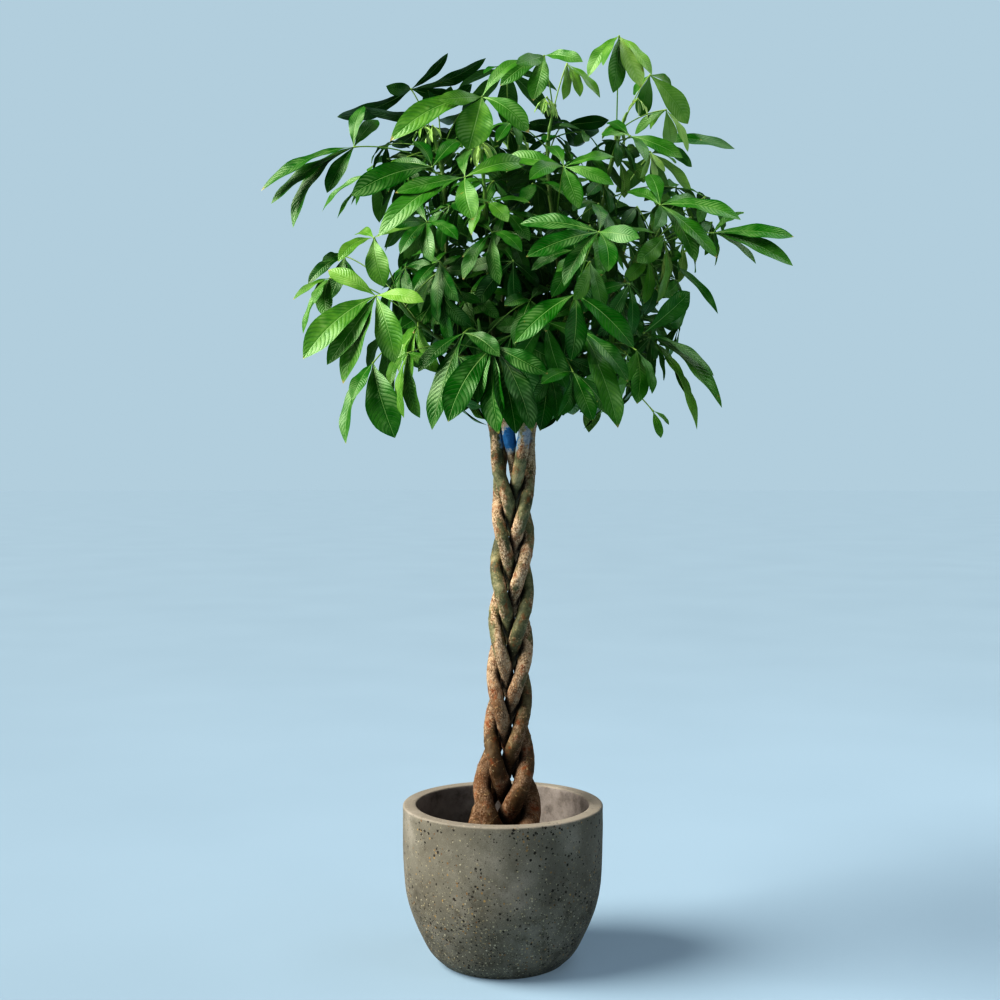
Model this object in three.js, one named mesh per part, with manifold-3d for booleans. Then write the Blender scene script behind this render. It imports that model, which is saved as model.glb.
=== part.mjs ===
// A potted money tree: five woody stems braided into one trunk, fifteen leafy green shoots
// that grow from the tops of those stems, and a speckled concrete pot filled with soil.
// Millimetres, +Z up, +Y away from the viewer. The origin is the middle of the pot's flat base.

import * as THREE from "three";
import { mergeVertices } from "three/addons/utils/BufferGeometryUtils.js";
import Module from "manifold-3d";

const wasm = await Module();
wasm.setup();

// Driving dimensions

const GAP = 0.3; // air left where one piece rests in or on another

const POT_RADIUS = 175;
const POT_HEIGHT = 275;
const POT_WALL = 24;
const POT_FLOOR = 30;
const POT_BASE_RADIUS = 106;
const POT_EDGE = 3; // bevel of the rim's two edges
const POT_SIDES = 36;
const POT_STEPS = 8;
const POT_INSIDE = [272, 182, 128, 76, 30]; // heights of the points down its inner face

const SOIL_EDGE_HEIGHT = 182; // where the soil meets the pot
const SOIL_MOUND = 9; // how much higher the soil stands at the trunk
const SOIL_RELIEF = 1.6; // height of its lumps
const SOIL_RINGS = 2;

const STEM_COUNT = 5;
const STEM_ROOT = 125; // height of the stems' lower ends, in the soil
const STEM_RADIUS = 12.2;
const STEM_BASE_RADIUS = 17; // at the soil
const STEM_TOP_RADIUS = 11;
const FLARE_LOW = 240; // heights between which the trunk narrows from its foot
const FLARE_HIGH = 430;
const BRAID_PITCH = 472; // height in which a stem winds once through the braid
const BRAID_CROSSING = 812; // height of the last crossing, above which the stems stand loose
const BRAID_SPREAD = 1.19; // half the braid's width between stem centres, in stem diameters
const BRAID_DEPTH = 1.15; // the same from front to back
const BRAID_STEEP = 0.2; // how much steeper the stems run in the braid's middle
const BRAID_FOOT_SPREAD = 0.17; // share by which the braid is wider at its foot
const TRUNK_LEAN = 0.029; // sideways shift of the trunk for each millimetre of height
const TRUNK_UPRIGHT = 840; // height above which the trunk's middle no longer leans
const TRUNK_BOW = 2.5;
const STEM_SIDES = 7;
const STEM_STEP = 31;

const SHOOT_RADIUS = 4.6;
const SHOOT_TIP_RADIUS = 2.4;
const SHOOT_SEAT = 7; // how deep a shoot starts under the bark of its stem
const SHOOT_SIDES = 5;
const SHOOT_STEPS = 6;

const STALK_RADIUS = 1.7; // of a leaf stalk
const STALK_SIDES = 3;
const STALK_STEPS = 3;
const LEAFLET_LENGTH = 118;
const LEAFLET_WIDTH = 0.37; // share of its length
const LEAFLET_THICKNESS = 1.5;
const LEAFLET_ARCH = 0.07; // rise of its rib over the straight line, share of its length
const LEAFLET_FOLD = 0.16; // rise of its edges over the rib, share of half its width
const SHORTEST_LEAFLET = 0.72; // share of the leaf's usual length
const LONGEST_IN_VIEW = 0.95; // how much of a leaflet's length the viewer sees at most

const JOIN_SMOOTHING = 0.15;
const CLEARANCE = 1.6; // least air between the blades of two leaves
const SETTLE_STEP = 6;
const SETTLE_TURN = 0.11;
const SETTLE_TRIES = 61;

// Where the viewer stands. Places in the crown are read off as the viewer sees them, in the
// pixels of a square view, and become real places at a chosen distance behind the trunk.

const VIEW = {
  middle: 500,
  focalLength: 1400,
  eye: new THREE.Vector3(-5, -2444, 857),
  pitch: THREE.MathUtils.degToRad(1.2),
};

// Loose stem tops: the way of each stem above the last crossing, from the trunk's middle.

const STEM_TOPS = [
  { way: [[9, -25, 860], [18, -26, 920], [28, -40, 985]], top: 1030 },
  { way: [[-24, 16, 860], [-19, 25, 920], [-24, 42, 985]], top: 1062 },
  { way: [[-27, -13, 860], [-31, -8, 920], [-46, -9, 985]], top: 1042 },
  { way: [[3, 4, 860], [-9, -18, 920], [-15, -40, 985]], top: 1012 },
  { way: [[27, 6, 860], [27, 10, 920], [40, 20, 985]], top: 1070 },
];

// Leafy shoots: the stem that each grows from, how far under that stem's top, its tip, and its
// leaves. A leaf is the place of its hub, its depth, and the tips of its leaflets in view.
// "grown" is how many leaves a shoot has where the view doesn't reach, placed by a rule.

const SHOOTS = [
  {
    name: "upper_left", stem: 2, below: 8, tip: [432, 132], depth: -10, grown: 0,
    leaves: [
      { hub: [411, 89], depth: 40, tips: [[486, 58], [448, 53], [386, 86], [337, 117], [453, 97]] },
      { hub: [432, 167], depth: -110, tips: [[351, 196], [414, 141], [457, 141], [392, 163]] },
      { hub: [406, 158], depth: -60, length: 45, tips: [[395, 178], [409, 181], [388, 168]] },
      { hub: [354, 147], depth: -40,
        tips: [[261, 191], [271, 204], [293, 228], [327, 193], [364, 106], [378, 120]] },
      { hub: [376, 172], depth: 80, tips: [[322, 212], [337, 219], [356, 206]] },
      { hub: [438, 111], depth: 90, tips: [[363, 107], [428, 90], [451, 86], [472, 84]] },
    ],
  },
  {
    name: "upper_front_left", stem: 3, below: 6, tip: [480, 150], depth: -130, grown: 0,
    leaves: [
      { hub: [482, 97], depth: -150, tips: [[390, 141], [468, 151], [529, 133], [520, 60], [438, 100]] },
      { hub: [465, 177], depth: -240, tips: [[395, 193], [378, 237], [473, 220], [527, 163], [469, 150]] },
      { hub: [427, 222], depth: -150, tips: [[388, 226], [400, 254], [432, 262], [458, 240], [420, 190]] },
    ],
  },
  {
    name: "low_front_left", stem: 2, below: 30, tip: [392, 285], depth: -170, grown: 0,
    leaves: [
      { hub: [376, 296], depth: -300,
        tips: [[303, 359], [327, 365], [343, 384], [395, 363], [424, 302], [328, 270]] },
      { hub: [374, 238], depth: -160, tips: [[384, 287], [423, 220], [357, 234], [338, 262]] },
      { hub: [330, 278], depth: -110, tips: [[293, 300], [303, 334], [315, 304], [327, 318]] },
      { hub: [373, 363], depth: -230, tips: [[395, 438], [346, 444], [352, 400]] },
      { hub: [440, 296], depth: -80, tips: [[401, 328], [402, 290], [425, 262], [452, 270]] },
    ],
  },
  {
    name: "low_front", stem: 3, below: 28, tip: [478, 318], depth: -190, grown: 0,
    leaves: [
      { hub: [408, 353], depth: -250, tips: [[404, 418], [391, 385], [420, 418], [439, 373]] },
      { hub: [464, 333], depth: -280, tips: [[432, 430], [449, 412], [418, 372], [500, 357]] },
      { hub: [494, 346], depth: -330,
        tips: [[448, 422], [478, 405], [499, 434], [516, 434], [532, 432], [548, 374]] },
      { hub: [440, 262], depth: -170, tips: [[413, 291], [425, 238], [459, 302], [438, 312]] },
      { hub: [530, 300], depth: -170, tips: [[514, 345], [546, 332], [504, 306], [552, 290]] },
    ],
  },
  {
    name: "front_right", stem: 0, below: 26, tip: [585, 268], depth: -200, grown: 0,
    leaves: [
      { hub: [599, 232], depth: -340,
        tips: [[520, 224], [526, 257], [564, 286], [608, 272], [640, 238], [592, 203]] },
      { hub: [590, 262], depth: -280, tips: [[602, 312], [573, 300], [556, 272]] },
      { hub: [575, 294], depth: -320, tips: [[571, 361], [634, 348], [515, 343], [602, 270]] },
      { hub: [580, 330], depth: -270, tips: [[618, 428], [602, 402], [628, 382]] },
      { hub: [573, 372], depth: -190, tips: [[558, 416], [593, 421], [609, 416], [541, 384]] },
    ],
  },
  {
    name: "low_right", stem: 4, below: 66, tip: [630, 322], depth: -60, grown: 0,
    leaves: [
      { hub: [644, 333], depth: -120, tips: [[714, 376], [722, 408], [693, 413], [697, 430], [690, 292]] },
      { hub: [636, 350], depth: -190, tips: [[637, 404], [652, 394], [617, 385]] },
      { hub: [653, 411], depth: -130, length: 42, tips: [[661, 438], [669, 425]] },
      { hub: [640, 318], depth: 20, tips: [[655, 288], [676, 330], [612, 300], [622, 352]] },
      { hub: [624, 300], depth: -70, tips: [[596, 336], [640, 338], [600, 280], [640, 276]] },
    ],
  },
  {
    name: "right", stem: 4, below: 32, tip: [660, 228], depth: -20, grown: 0,
    leaves: [
      { hub: [660, 205], depth: -130,
        tips: [[741, 220], [697, 198], [717, 258], [696, 262], [649, 174], [627, 192], [655, 228]] },
      { hub: [713, 233], depth: -50, tips: [[794, 237], [793, 266], [756, 264], [744, 212]] },
      { hub: [669, 262], depth: 40, tips: [[634, 272], [718, 314], [682, 258], [650, 288]] },
    ],
  },
  {
    name: "upper_right", stem: 4, below: 8, tip: [627, 112], depth: 20, grown: 0,
    leaves: [
      { hub: [619, 36], depth: -40, tips: [[588, 77], [613, 93], [641, 87], [652, 75], [603, 66]] },
      { hub: [650, 75], depth: 50, tips: [[688, 124], [641, 117], [633, 94], [672, 88]] },
      { hub: [666, 110], depth: 0, tips: [[635, 134], [671, 146], [688, 152], [650, 128]] },
      { hub: [630, 136], depth: -60, tips: [[602, 133], [609, 122], [683, 158], [646, 162]] },
      { hub: [655, 142], depth: 90, tips: [[735, 149], [702, 140], [692, 167]] },
      { hub: [650, 152], depth: -100, length: 60, tips: [[640, 178], [655, 186], [665, 172]] },
    ],
  },
  {
    name: "top", stem: 0, below: 8, tip: [556, 104], depth: -60, grown: 0,
    leaves: [
      { hub: [544, 56], depth: -70, tips: [[533, 101], [500, 86], [583, 62], [516, 64]] },
      { hub: [567, 64], depth: -20, length: 60, tips: [[563, 100], [580, 97], [600, 98]] },
      { hub: [564, 167], depth: -220,
        tips: [[529, 180], [507, 157], [579, 209], [614, 185], [547, 146], [614, 157]] },
      { hub: [563, 125], depth: 20, tips: [[609, 120], [599, 132], [582, 145], [529, 122], [545, 105]] },
      { hub: [492, 232], depth: -150, tips: [[463, 280], [500, 285], [522, 252], [468, 222]] },
    ],
  },
  { name: "back_left", stem: 1, below: 21, tip: [425, 215], depth: 190, grown: 4, leaves: [] },
  { name: "back_top", stem: 1, below: 7, tip: [510, 135], depth: 180, grown: 4, leaves: [] },
  { name: "back_right", stem: 4, below: 50, tip: [610, 200], depth: 200, grown: 4, leaves: [] },
  { name: "low_back", stem: 1, below: 35, tip: [520, 300], depth: 230, grown: 4, leaves: [] },
  { name: "low_back_left", stem: 1, below: 49, tip: [430, 320], depth: 120, grown: 3, leaves: [] },
  { name: "low_back_right", stem: 4, below: 82, tip: [590, 330], depth: 160, grown: 3, leaves: [] },
];

// Leaves that a rule places: each turns by the golden angle round its shoot.

const GOLDEN_ANGLE = THREE.MathUtils.degToRad(137.5);
const FIRST_GROWN = 0.5; // place of a shoot's lowest grown leaf, share of its length
const GROWN_STALK = 115;
const GROWN_DROOP = 0.5; // how far leaflets hang under the plane of the leaf
const LEAFLET_FANS = {
  5: [0, -55, 55, -112, 112],
  6: [0, -46, 46, -95, 95, 148],
};
const CROWN_MIDDLE = new THREE.Vector3(20, 0, 1180);

// Colours of the real pieces

const FINISH = {
  concrete: { color: 0x8a8378, roughness: 0.85, metalness: 0 },
  soil: { color: 0x33261c, roughness: 1, metalness: 0 },
  bark: { color: 0x857053, roughness: 0.9, metalness: 0 },
  leaf: { color: 0x2f7a2a, roughness: 0.45, metalness: 0 },
};

// Solids

function solidOf(geometry) {
  const bare = geometry.clone();
  bare.deleteAttribute("normal");
  bare.deleteAttribute("uv");
  const merged = mergeVertices(bare, 1e-4);
  return new wasm.Manifold(
    new wasm.Mesh({
      numProp: 3,
      vertProperties: new Float32Array(merged.attributes.position.array),
      triVerts: new Uint32Array(merged.index.array),
    }),
  );
}

function geometryOf(solid) {
  const mesh = solid.getMesh();
  const geometry = new THREE.BufferGeometry();
  geometry.setAttribute("position", new THREE.BufferAttribute(mesh.vertProperties, 3));
  geometry.setIndex(new THREE.BufferAttribute(mesh.triVerts, 1));
  geometry.computeVertexNormals();
  return geometry;
}

// A round stem along a curve: a cylinder of radius 1 whose rings are carried to the curve's
// points and drawn out to the radius there.
function stemAlong(curve, radiusAt, sides, steps) {
  const stem = new THREE.CylinderGeometry(1, 1, 1, sides, steps);
  const frames = curve.computeFrenetFrames(steps);
  const place = stem.getAttribute("position");
  const moved = new THREE.Vector3();
  for (let i = 0; i < place.count; i++) {
    const ring = Math.round((0.5 + place.getY(i)) * steps);
    const radius = radiusAt(ring / steps);
    moved.copy(curve.getPointAt(ring / steps));
    moved.addScaledVector(frames.binormals[ring], radius * place.getX(i));
    moved.addScaledVector(frames.normals[ring], radius * place.getZ(i));
    place.setXYZ(i, moved.x, moved.y, moved.z);
  }
  return stem;
}

// Pot and soil

function potOutside() {
  return new THREE.SplineCurve([
    new THREE.Vector2(POT_BASE_RADIUS, 0),
    new THREE.Vector2(POT_RADIUS - 47, 21),
    new THREE.Vector2(POT_RADIUS - 30, 52),
    new THREE.Vector2(POT_RADIUS - 16, 85),
    new THREE.Vector2(POT_RADIUS - 6.5, 116),
    new THREE.Vector2(POT_RADIUS - 2, 154),
    new THREE.Vector2(POT_RADIUS, 215),
    new THREE.Vector2(POT_RADIUS, POT_HEIGHT - POT_EDGE),
  ]).getPoints(POT_STEPS);
}

// Radius of the pot's outer face at a height, between the outline's points.
function outsideRadius(height) {
  const outline = potOutside();
  const above = Math.max(1, outline.findIndex((point) => point.y >= height));
  const low = outline[above - 1];
  const high = outline[above];
  return THREE.MathUtils.mapLinear(height, low.y, high.y, low.x, high.x);
}

function turned(profile) {
  return new THREE.LatheGeometry(profile, POT_SIDES).rotateX(Math.PI / 2);
}

// Points down the pot's inner face from a height, a distance inside the face.
function insideProfile(fromHeight, inset) {
  const heights = POT_INSIDE.filter((height) => height <= fromHeight);
  return heights.map((height) => new THREE.Vector2(outsideRadius(height) - POT_WALL - inset, height));
}

function potSolid() {
  const lip = POT_RADIUS - POT_WALL;
  return solidOf(turned([
    new THREE.Vector2(0, 0),
    ...potOutside(),
    new THREE.Vector2(POT_RADIUS - POT_EDGE, POT_HEIGHT),
    new THREE.Vector2(lip + POT_EDGE, POT_HEIGHT),
    ...insideProfile(POT_HEIGHT, 0),
    new THREE.Vector2(0, POT_FLOOR),
  ]));
}

// The soil's top is a low mound with shallow lumps.
function soilSolid(holes) {
  const edge = outsideRadius(SOIL_EDGE_HEIGHT) - POT_WALL - GAP;
  const top = [];
  for (let ring = 0; ring <= SOIL_RINGS; ring++) {
    const radius = (edge * ring) / SOIL_RINGS;
    top.push(new THREE.Vector2(radius, SOIL_EDGE_HEIGHT + SOIL_MOUND * (1 - (radius / edge) ** 2)));
  }
  const wall = insideProfile(SOIL_EDGE_HEIGHT, GAP);
  wall.at(-1).y += GAP;
  const profile = [...top, ...wall.slice(1), new THREE.Vector2(0, POT_FLOOR + GAP)].reverse();
  const soil = turned(profile);
  const place = soil.getAttribute("position");
  for (let i = 0; i < place.count; i++) {
    const x = place.getX(i);
    const y = place.getY(i);
    const inner = Math.hypot(x, y) < edge - 1 && place.getZ(i) > SOIL_EDGE_HEIGHT - 1;
    if (inner) {
      place.setZ(i, place.getZ(i) + SOIL_RELIEF * (Math.sin(x / 11) + Math.cos(y / 13 + x / 23)));
    }
  }
  return holes.reduce((rest, hole) => rest.subtract(hole), solidOf(soil));
}

// Braided trunk

function trunkMiddle(height) {
  const rise = Math.min(height, TRUNK_UPRIGHT) - SOIL_EDGE_HEIGHT;
  const bow = TRUNK_BOW * Math.sin((Math.PI * rise) / (BRAID_CROSSING - SOIL_EDGE_HEIGHT));
  return TRUNK_LEAN * rise + (height < BRAID_CROSSING ? bow : 0);
}

// 1 at the trunk's foot, 0 from where it has narrowed.
function flare(height) {
  return 1 - THREE.MathUtils.smoothstep(height, FLARE_LOW, FLARE_HIGH);
}

function stemRadius(height) {
  const slim = THREE.MathUtils.mapLinear(height, FLARE_HIGH, BRAID_CROSSING, STEM_RADIUS, STEM_TOP_RADIUS);
  const upper = THREE.MathUtils.clamp(slim, STEM_TOP_RADIUS, STEM_RADIUS);
  return THREE.MathUtils.lerp(upper, STEM_BASE_RADIUS, flare(height));
}

// Below the last crossing each stem runs in a figure of eight round the trunk's middle.
function braidPlace(stem, height) {
  const turn = Math.PI + (2 * Math.PI * (BRAID_CROSSING - height)) / BRAID_PITCH
    + (2 * Math.PI * stem) / STEM_COUNT;
  const width = 2 * stemRadius(height) * (1 + BRAID_FOOT_SPREAD * flare(height));
  return new THREE.Vector3(
    trunkMiddle(height) + width * BRAID_SPREAD * Math.sin(turn - BRAID_STEEP * Math.sin(2 * turn)),
    width * BRAID_DEPTH * Math.sin(2 * turn),
    height,
  );
}

function stemCurve(stem) {
  const points = [];
  for (let height = STEM_ROOT; height < BRAID_CROSSING + 1; height += STEM_STEP) {
    points.push(braidPlace(stem, height));
  }
  const { way, top } = STEM_TOPS[stem];
  for (const [x, y, height] of way) {
    points.push(new THREE.Vector3(trunkMiddle(height) + x, y, height));
  }
  const [x, y, height] = way.at(-1);
  const onward = (top - height) / 220;
  points.push(new THREE.Vector3(trunkMiddle(top) + x * (1 + onward), y * (1 + onward), top));
  return new THREE.CatmullRomCurve3(points, false, "centripetal");
}

function stemSolid(curve, extra) {
  const steps = Math.round(curve.getLength() / STEM_STEP);
  const radiusAt = (share) => stemRadius(curve.getPointAt(share).z) + extra;
  return solidOf(stemAlong(curve, radiusAt, STEM_SIDES, steps));
}

// Places in view

function inView([across, down], depth) {
  const right = (across - VIEW.middle) / VIEW.focalLength;
  const up = (VIEW.middle - down) / VIEW.focalLength;
  const ahead = Math.cos(VIEW.pitch) + up * Math.sin(VIEW.pitch);
  const rise = up * Math.cos(VIEW.pitch) - Math.sin(VIEW.pitch);
  const reach = (depth - VIEW.eye.y) / ahead;
  return new THREE.Vector3(VIEW.eye.x + reach * right, depth, VIEW.eye.z + reach * rise);
}

// The way that a leaf's upper side faces: out from the crown's middle, and up.
function leafFacing(hub) {
  const out = hub.clone().sub(CROWN_MIDDLE).normalize();
  return out.add(new THREE.Vector3(0, 0, 0.75)).normalize();
}

// A leaf whose hub and leaflet tips are seen. Its leaflets are as long as they look or longer,
// and those that hang below the hub reach out from the crown.
function seenLeaf(leaf, swing) {
  const depth = leaf.depth + SETTLE_STEP * swing;
  const hub = inView(leaf.hub, depth);
  const usual = leaf.length ?? LEAFLET_LENGTH;
  const tips = leaf.tips.map((tip) => {
    const seen = inView(tip, depth).distanceTo(hub);
    const length = Math.max(seen / LONGEST_IN_VIEW, SHORTEST_LEAFLET * usual);
    const towards = Math.sqrt(length ** 2 - seen ** 2);
    const hangs = tip[1] > leaf.hub[1];
    const nearer = hangs === leaf.depth < 0;
    return inView(tip, depth + (nearer ? -towards : towards));
  });
  return { hub, tips, facing: leafFacing(inView(leaf.hub, leaf.depth)) };
}

// A leaf that the rule places on its shoot, with five or six leaflets fanned round the hub.
function grownLeaf(shoot, index, swing) {
  const share = THREE.MathUtils.lerp(FIRST_GROWN, 1, index / (shoot.grown - 1));
  const from = shoot.curve.getPointAt(share);
  const angle = GOLDEN_ANGLE * index + shoot.number + SETTLE_TURN * swing;
  const around = new THREE.Vector3(Math.cos(angle), Math.sin(angle), 0.55 + 0.3 * share);
  const out = from.clone().sub(CROWN_MIDDLE).normalize();
  const hub = from.clone().addScaledVector(around.addScaledVector(out, 0.9).normalize(), GROWN_STALK);
  const facing = leafFacing(hub);
  const ahead = out.clone().addScaledVector(facing, -out.dot(facing)).normalize();
  const beside = new THREE.Vector3().crossVectors(facing, ahead);
  const fan = LEAFLET_FANS[5 + ((index + shoot.number) % 2)];
  const tips = fan.map((degrees) => {
    const turn = THREE.MathUtils.degToRad(degrees);
    const length = LEAFLET_LENGTH * (1.1 - (0.35 * Math.abs(degrees)) / 150);
    const along = ahead.clone().multiplyScalar(Math.cos(turn));
    along.addScaledVector(beside, Math.sin(turn)).addScaledVector(facing, -GROWN_DROOP);
    return hub.clone().addScaledVector(along.normalize(), length);
  });
  return { hub, tips, facing };
}

// Leaves

// Stations along a leaflet's rib, shares of its length, and its width at each. The leaves out
// of view have one station fewer.
const SEEN_RIB = { at: [0, 0.28, 0.6, 0.86, 1], width: [0, 0.62, 1, 0.6, 0] };
const GROWN_RIB = { at: [0, 0.38, 0.76, 1], width: [0, 0.86, 0.88, 0] };

// A leaflet is a four-sided sphere drawn out along its rib: a thin arched blade, folded a
// little along the rib, its two faces split into triangles alike.
function leafletSolid(hub, tip, facing, rib) {
  const last = rib.at.length - 1;
  const along = tip.clone().sub(hub);
  const length = along.length();
  const ahead = along.clone().normalize();
  const normal = facing.clone().addScaledVector(ahead, -facing.dot(ahead)).normalize();
  const side = new THREE.Vector3().crossVectors(ahead, normal);
  const halfWidth = (LEAFLET_WIDTH * length) / 2;
  const blade = new THREE.SphereGeometry(1, 4, last);
  const place = blade.getAttribute("position");
  const uv = blade.getAttribute("uv");
  const moved = new THREE.Vector3();
  for (let i = 0; i < place.count; i++) {
    const ring = Math.round((1 - uv.getY(i)) * last);
    const corner = Math.round(uv.getX(i) * 4) % 4;
    const share = rib.at[ring];
    moved.copy(hub).addScaledVector(along, share);
    moved.addScaledVector(normal, 4 * LEAFLET_ARCH * length * share * (1 - share));
    const wide = halfWidth * rib.width[ring];
    const across = [1, 0, -1, 0][corner];
    moved.addScaledVector(side, across * wide);
    moved.addScaledVector(normal, Math.abs(across) * LEAFLET_FOLD * wide);
    const pole = ring === 0 || ring === last;
    moved.addScaledVector(normal, pole ? 0 : ([0, 1, 0, -1][corner] * LEAFLET_THICKNESS) / 2);
    place.setXYZ(i, moved.x, moved.y, moved.z);
  }
  return solidOf(blade);
}

// The stalk leaves its shoot a little below the point nearest the hub, and bows upwards.
function stalkCurve(shoot, hub, slide) {
  const samples = 40;
  const points = shoot.curve.getSpacedPoints(samples);
  const distances = points.map((point) => point.distanceTo(hub));
  const nearest = distances.indexOf(Math.min(...distances));
  const back = (0.45 * distances[nearest]) / shoot.curve.getLength();
  const share = THREE.MathUtils.clamp(nearest / samples - back + slide, 0.22, 0.97);
  const from = shoot.curve.getPointAt(share);
  const reach = from.distanceTo(hub);
  const bow = from.clone().lerp(hub, 0.5).add(new THREE.Vector3(0, 0, 0.16 * reach));
  const end = hub.clone().add(hub.clone().sub(bow).normalize());
  return new THREE.QuadraticBezierCurve3(from, bow, end);
}

// A leaf at one of its possible settings: each moves it a little more along the line of sight
// and slides its stalk's foot along the shoot.
function leafAt(shoot, leaf, setting) {
  const swing = Math.ceil(setting / 2) * (setting % 2 ? 1 : -1);
  const slide = 0.08 * ((setting % 3) - (setting % 3 === 2 ? 3 : 0));
  const { hub, tips, facing } = leaf.grown ? grownLeaf(shoot, leaf.index, swing) : seenLeaf(leaf, swing);
  const rib = leaf.grown ? GROWN_RIB : SEEN_RIB;
  const blades = wasm.Manifold.union(tips.map((tip) => leafletSolid(hub, tip, facing, rib)));
  const stalk = solidOf(stemAlong(stalkCurve(shoot, hub, slide), () => STALK_RADIUS, STALK_SIDES, STALK_STEPS));
  return { blades, stalk };
}

function apart(one, other, distance) {
  const a = one.boundingBox();
  const b = other.boundingBox();
  const separate = [0, 1, 2].some((i) => a.min[i] > b.max[i] + distance || b.min[i] > a.max[i] + distance);
  return separate || one.minGap(other, distance) >= distance;
}

// Whether a leaf is clear of all that stands there. Its stalk may meet its own shoot's stalks.
function isClear(leaf, shoot, standing) {
  return standing.every(({ solid, owner, woody }) => {
    const mayMeet = owner === shoot && woody;
    return apart(leaf.blades, solid, CLEARANCE) && (mayMeet || apart(leaf.stalk, solid, CLEARANCE));
  });
}

// Shoots

function shootCurve(shoot) {
  const stem = STEM_CURVES[shoot.stem];
  const share = 1 - shoot.below / stem.getLength();
  const root = stem.getPointAt(share);
  const tip = inView(shoot.tip, shoot.depth);
  const out = tip.clone().sub(root).setZ(0).normalize();
  const start = root.clone().addScaledVector(out, stemRadius(root.z) - SHOOT_SEAT);
  const reach = tip.distanceTo(start);
  const leaving = start.clone().addScaledVector(out, 0.22 * reach);
  leaving.z += 0.28 * reach;
  const arriving = tip.clone().addScaledVector(out, -0.12 * reach);
  arriving.z -= 0.3 * reach;
  return new THREE.CubicBezierCurve3(start, leaving, arriving, tip);
}

function branchSolid(curve) {
  const radiusAt = (share) => THREE.MathUtils.lerp(SHOOT_RADIUS, SHOOT_TIP_RADIUS, share);
  return solidOf(stemAlong(curve, radiusAt, SHOOT_SIDES, SHOOT_STEPS));
}

// The seat of a shoot in its stem: the shoot's own shape, fatter and a gap deeper.
function seatSolid(curve) {
  const seat = solidOf(stemAlong(curve, () => SHOOT_RADIUS + 2 * GAP, SHOOT_SIDES, SHOOT_STEPS));
  return seat.translate(curve.getTangentAt(0).multiplyScalar(-GAP).toArray());
}

// Joining leaves slivers of blade at the hubs: they are smoothed away and loose scraps dropped.
function oneBody(solid) {
  const bodies = solid.asOriginal().simplify(JOIN_SMOOTHING).decompose();
  return bodies.reduce((largest, body) => (body.volume() > largest.volume() ? body : largest));
}

// Putting the plant together

function pieceMesh(name, solid, finish) {
  const mesh = new THREE.Mesh(geometryOf(solid), new THREE.MeshStandardMaterial(finish));
  mesh.name = name;
  return mesh;
}

const STEM_CURVES = STEM_TOPS.map((_, stem) => stemCurve(stem));
const moneyTree = new THREE.Group();

moneyTree.add(pieceMesh("pot", potSolid(), FINISH.concrete));
const soilHoles = STEM_CURVES.map((curve) => stemSolid(curve, GAP));
moneyTree.add(pieceMesh("soil", soilSolid(soilHoles), FINISH.soil));

const standing = [];
SHOOTS.forEach((shoot, number) => {
  shoot.number = number;
  shoot.curve = shootCurve(shoot);
  shoot.parts = [branchSolid(shoot.curve)];
  standing.push({ solid: shoot.parts[0], owner: shoot, woody: true });
});

STEM_CURVES.forEach((curve, stem) => {
  const seats = SHOOTS.filter((shoot) => shoot.stem === stem).map((shoot) => seatSolid(shoot.curve));
  const solid = seats.reduce((rest, seat) => rest.subtract(seat), stemSolid(curve, 0));
  standing.push({ solid, owner: null, woody: true });
  moneyTree.add(pieceMesh(`trunk_stem_${stem + 1}`, solid, FINISH.bark));
});

for (const shoot of SHOOTS) {
  const grown = Array.from({ length: shoot.grown }, (_, index) => ({ grown: true, index }));
  for (const leaf of [...shoot.leaves, ...grown]) {
    let setting = 0;
    let made = leafAt(shoot, leaf, setting);
    while (!isClear(made, shoot, standing) && setting < SETTLE_TRIES) {
      setting += 1;
      made = leafAt(shoot, leaf, setting);
    }
    standing.push({ solid: made.blades, owner: shoot, woody: false });
    standing.push({ solid: made.stalk, owner: shoot, woody: true });
    shoot.parts.push(made.stalk, made.blades);
  }
  moneyTree.add(pieceMesh(`shoot_${shoot.name}`, oneBody(wasm.Manifold.union(shoot.parts)), FINISH.leaf));
}

export default moneyTree;
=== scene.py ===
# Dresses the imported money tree: the braided bark, the leafy shoots, the speckled concrete pot and
# its soil, with a pale studio round them. Metres, +Z up, +Y away from the camera.
import math
import random

import bmesh
import bpy
import numpy as np
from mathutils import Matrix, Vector, kdtree, noise


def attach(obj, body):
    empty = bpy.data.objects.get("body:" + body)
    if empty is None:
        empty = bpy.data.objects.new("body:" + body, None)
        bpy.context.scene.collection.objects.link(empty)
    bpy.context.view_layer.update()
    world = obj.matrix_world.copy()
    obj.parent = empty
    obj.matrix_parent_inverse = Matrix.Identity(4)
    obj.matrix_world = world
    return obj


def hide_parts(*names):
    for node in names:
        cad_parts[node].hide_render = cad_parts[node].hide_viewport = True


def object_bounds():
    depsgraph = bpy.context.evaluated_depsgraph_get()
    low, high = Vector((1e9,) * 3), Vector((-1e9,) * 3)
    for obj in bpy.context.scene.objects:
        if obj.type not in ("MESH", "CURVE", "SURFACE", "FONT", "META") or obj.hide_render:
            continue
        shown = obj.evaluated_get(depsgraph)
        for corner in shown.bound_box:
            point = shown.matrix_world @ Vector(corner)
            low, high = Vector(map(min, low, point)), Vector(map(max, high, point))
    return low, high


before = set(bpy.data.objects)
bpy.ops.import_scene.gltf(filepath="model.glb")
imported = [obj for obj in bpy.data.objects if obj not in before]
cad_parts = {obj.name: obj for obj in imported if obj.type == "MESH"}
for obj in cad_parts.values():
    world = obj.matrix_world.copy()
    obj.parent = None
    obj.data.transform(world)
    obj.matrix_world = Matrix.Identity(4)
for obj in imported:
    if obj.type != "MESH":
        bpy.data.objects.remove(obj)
cad_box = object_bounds()

MM = 0.001

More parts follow.
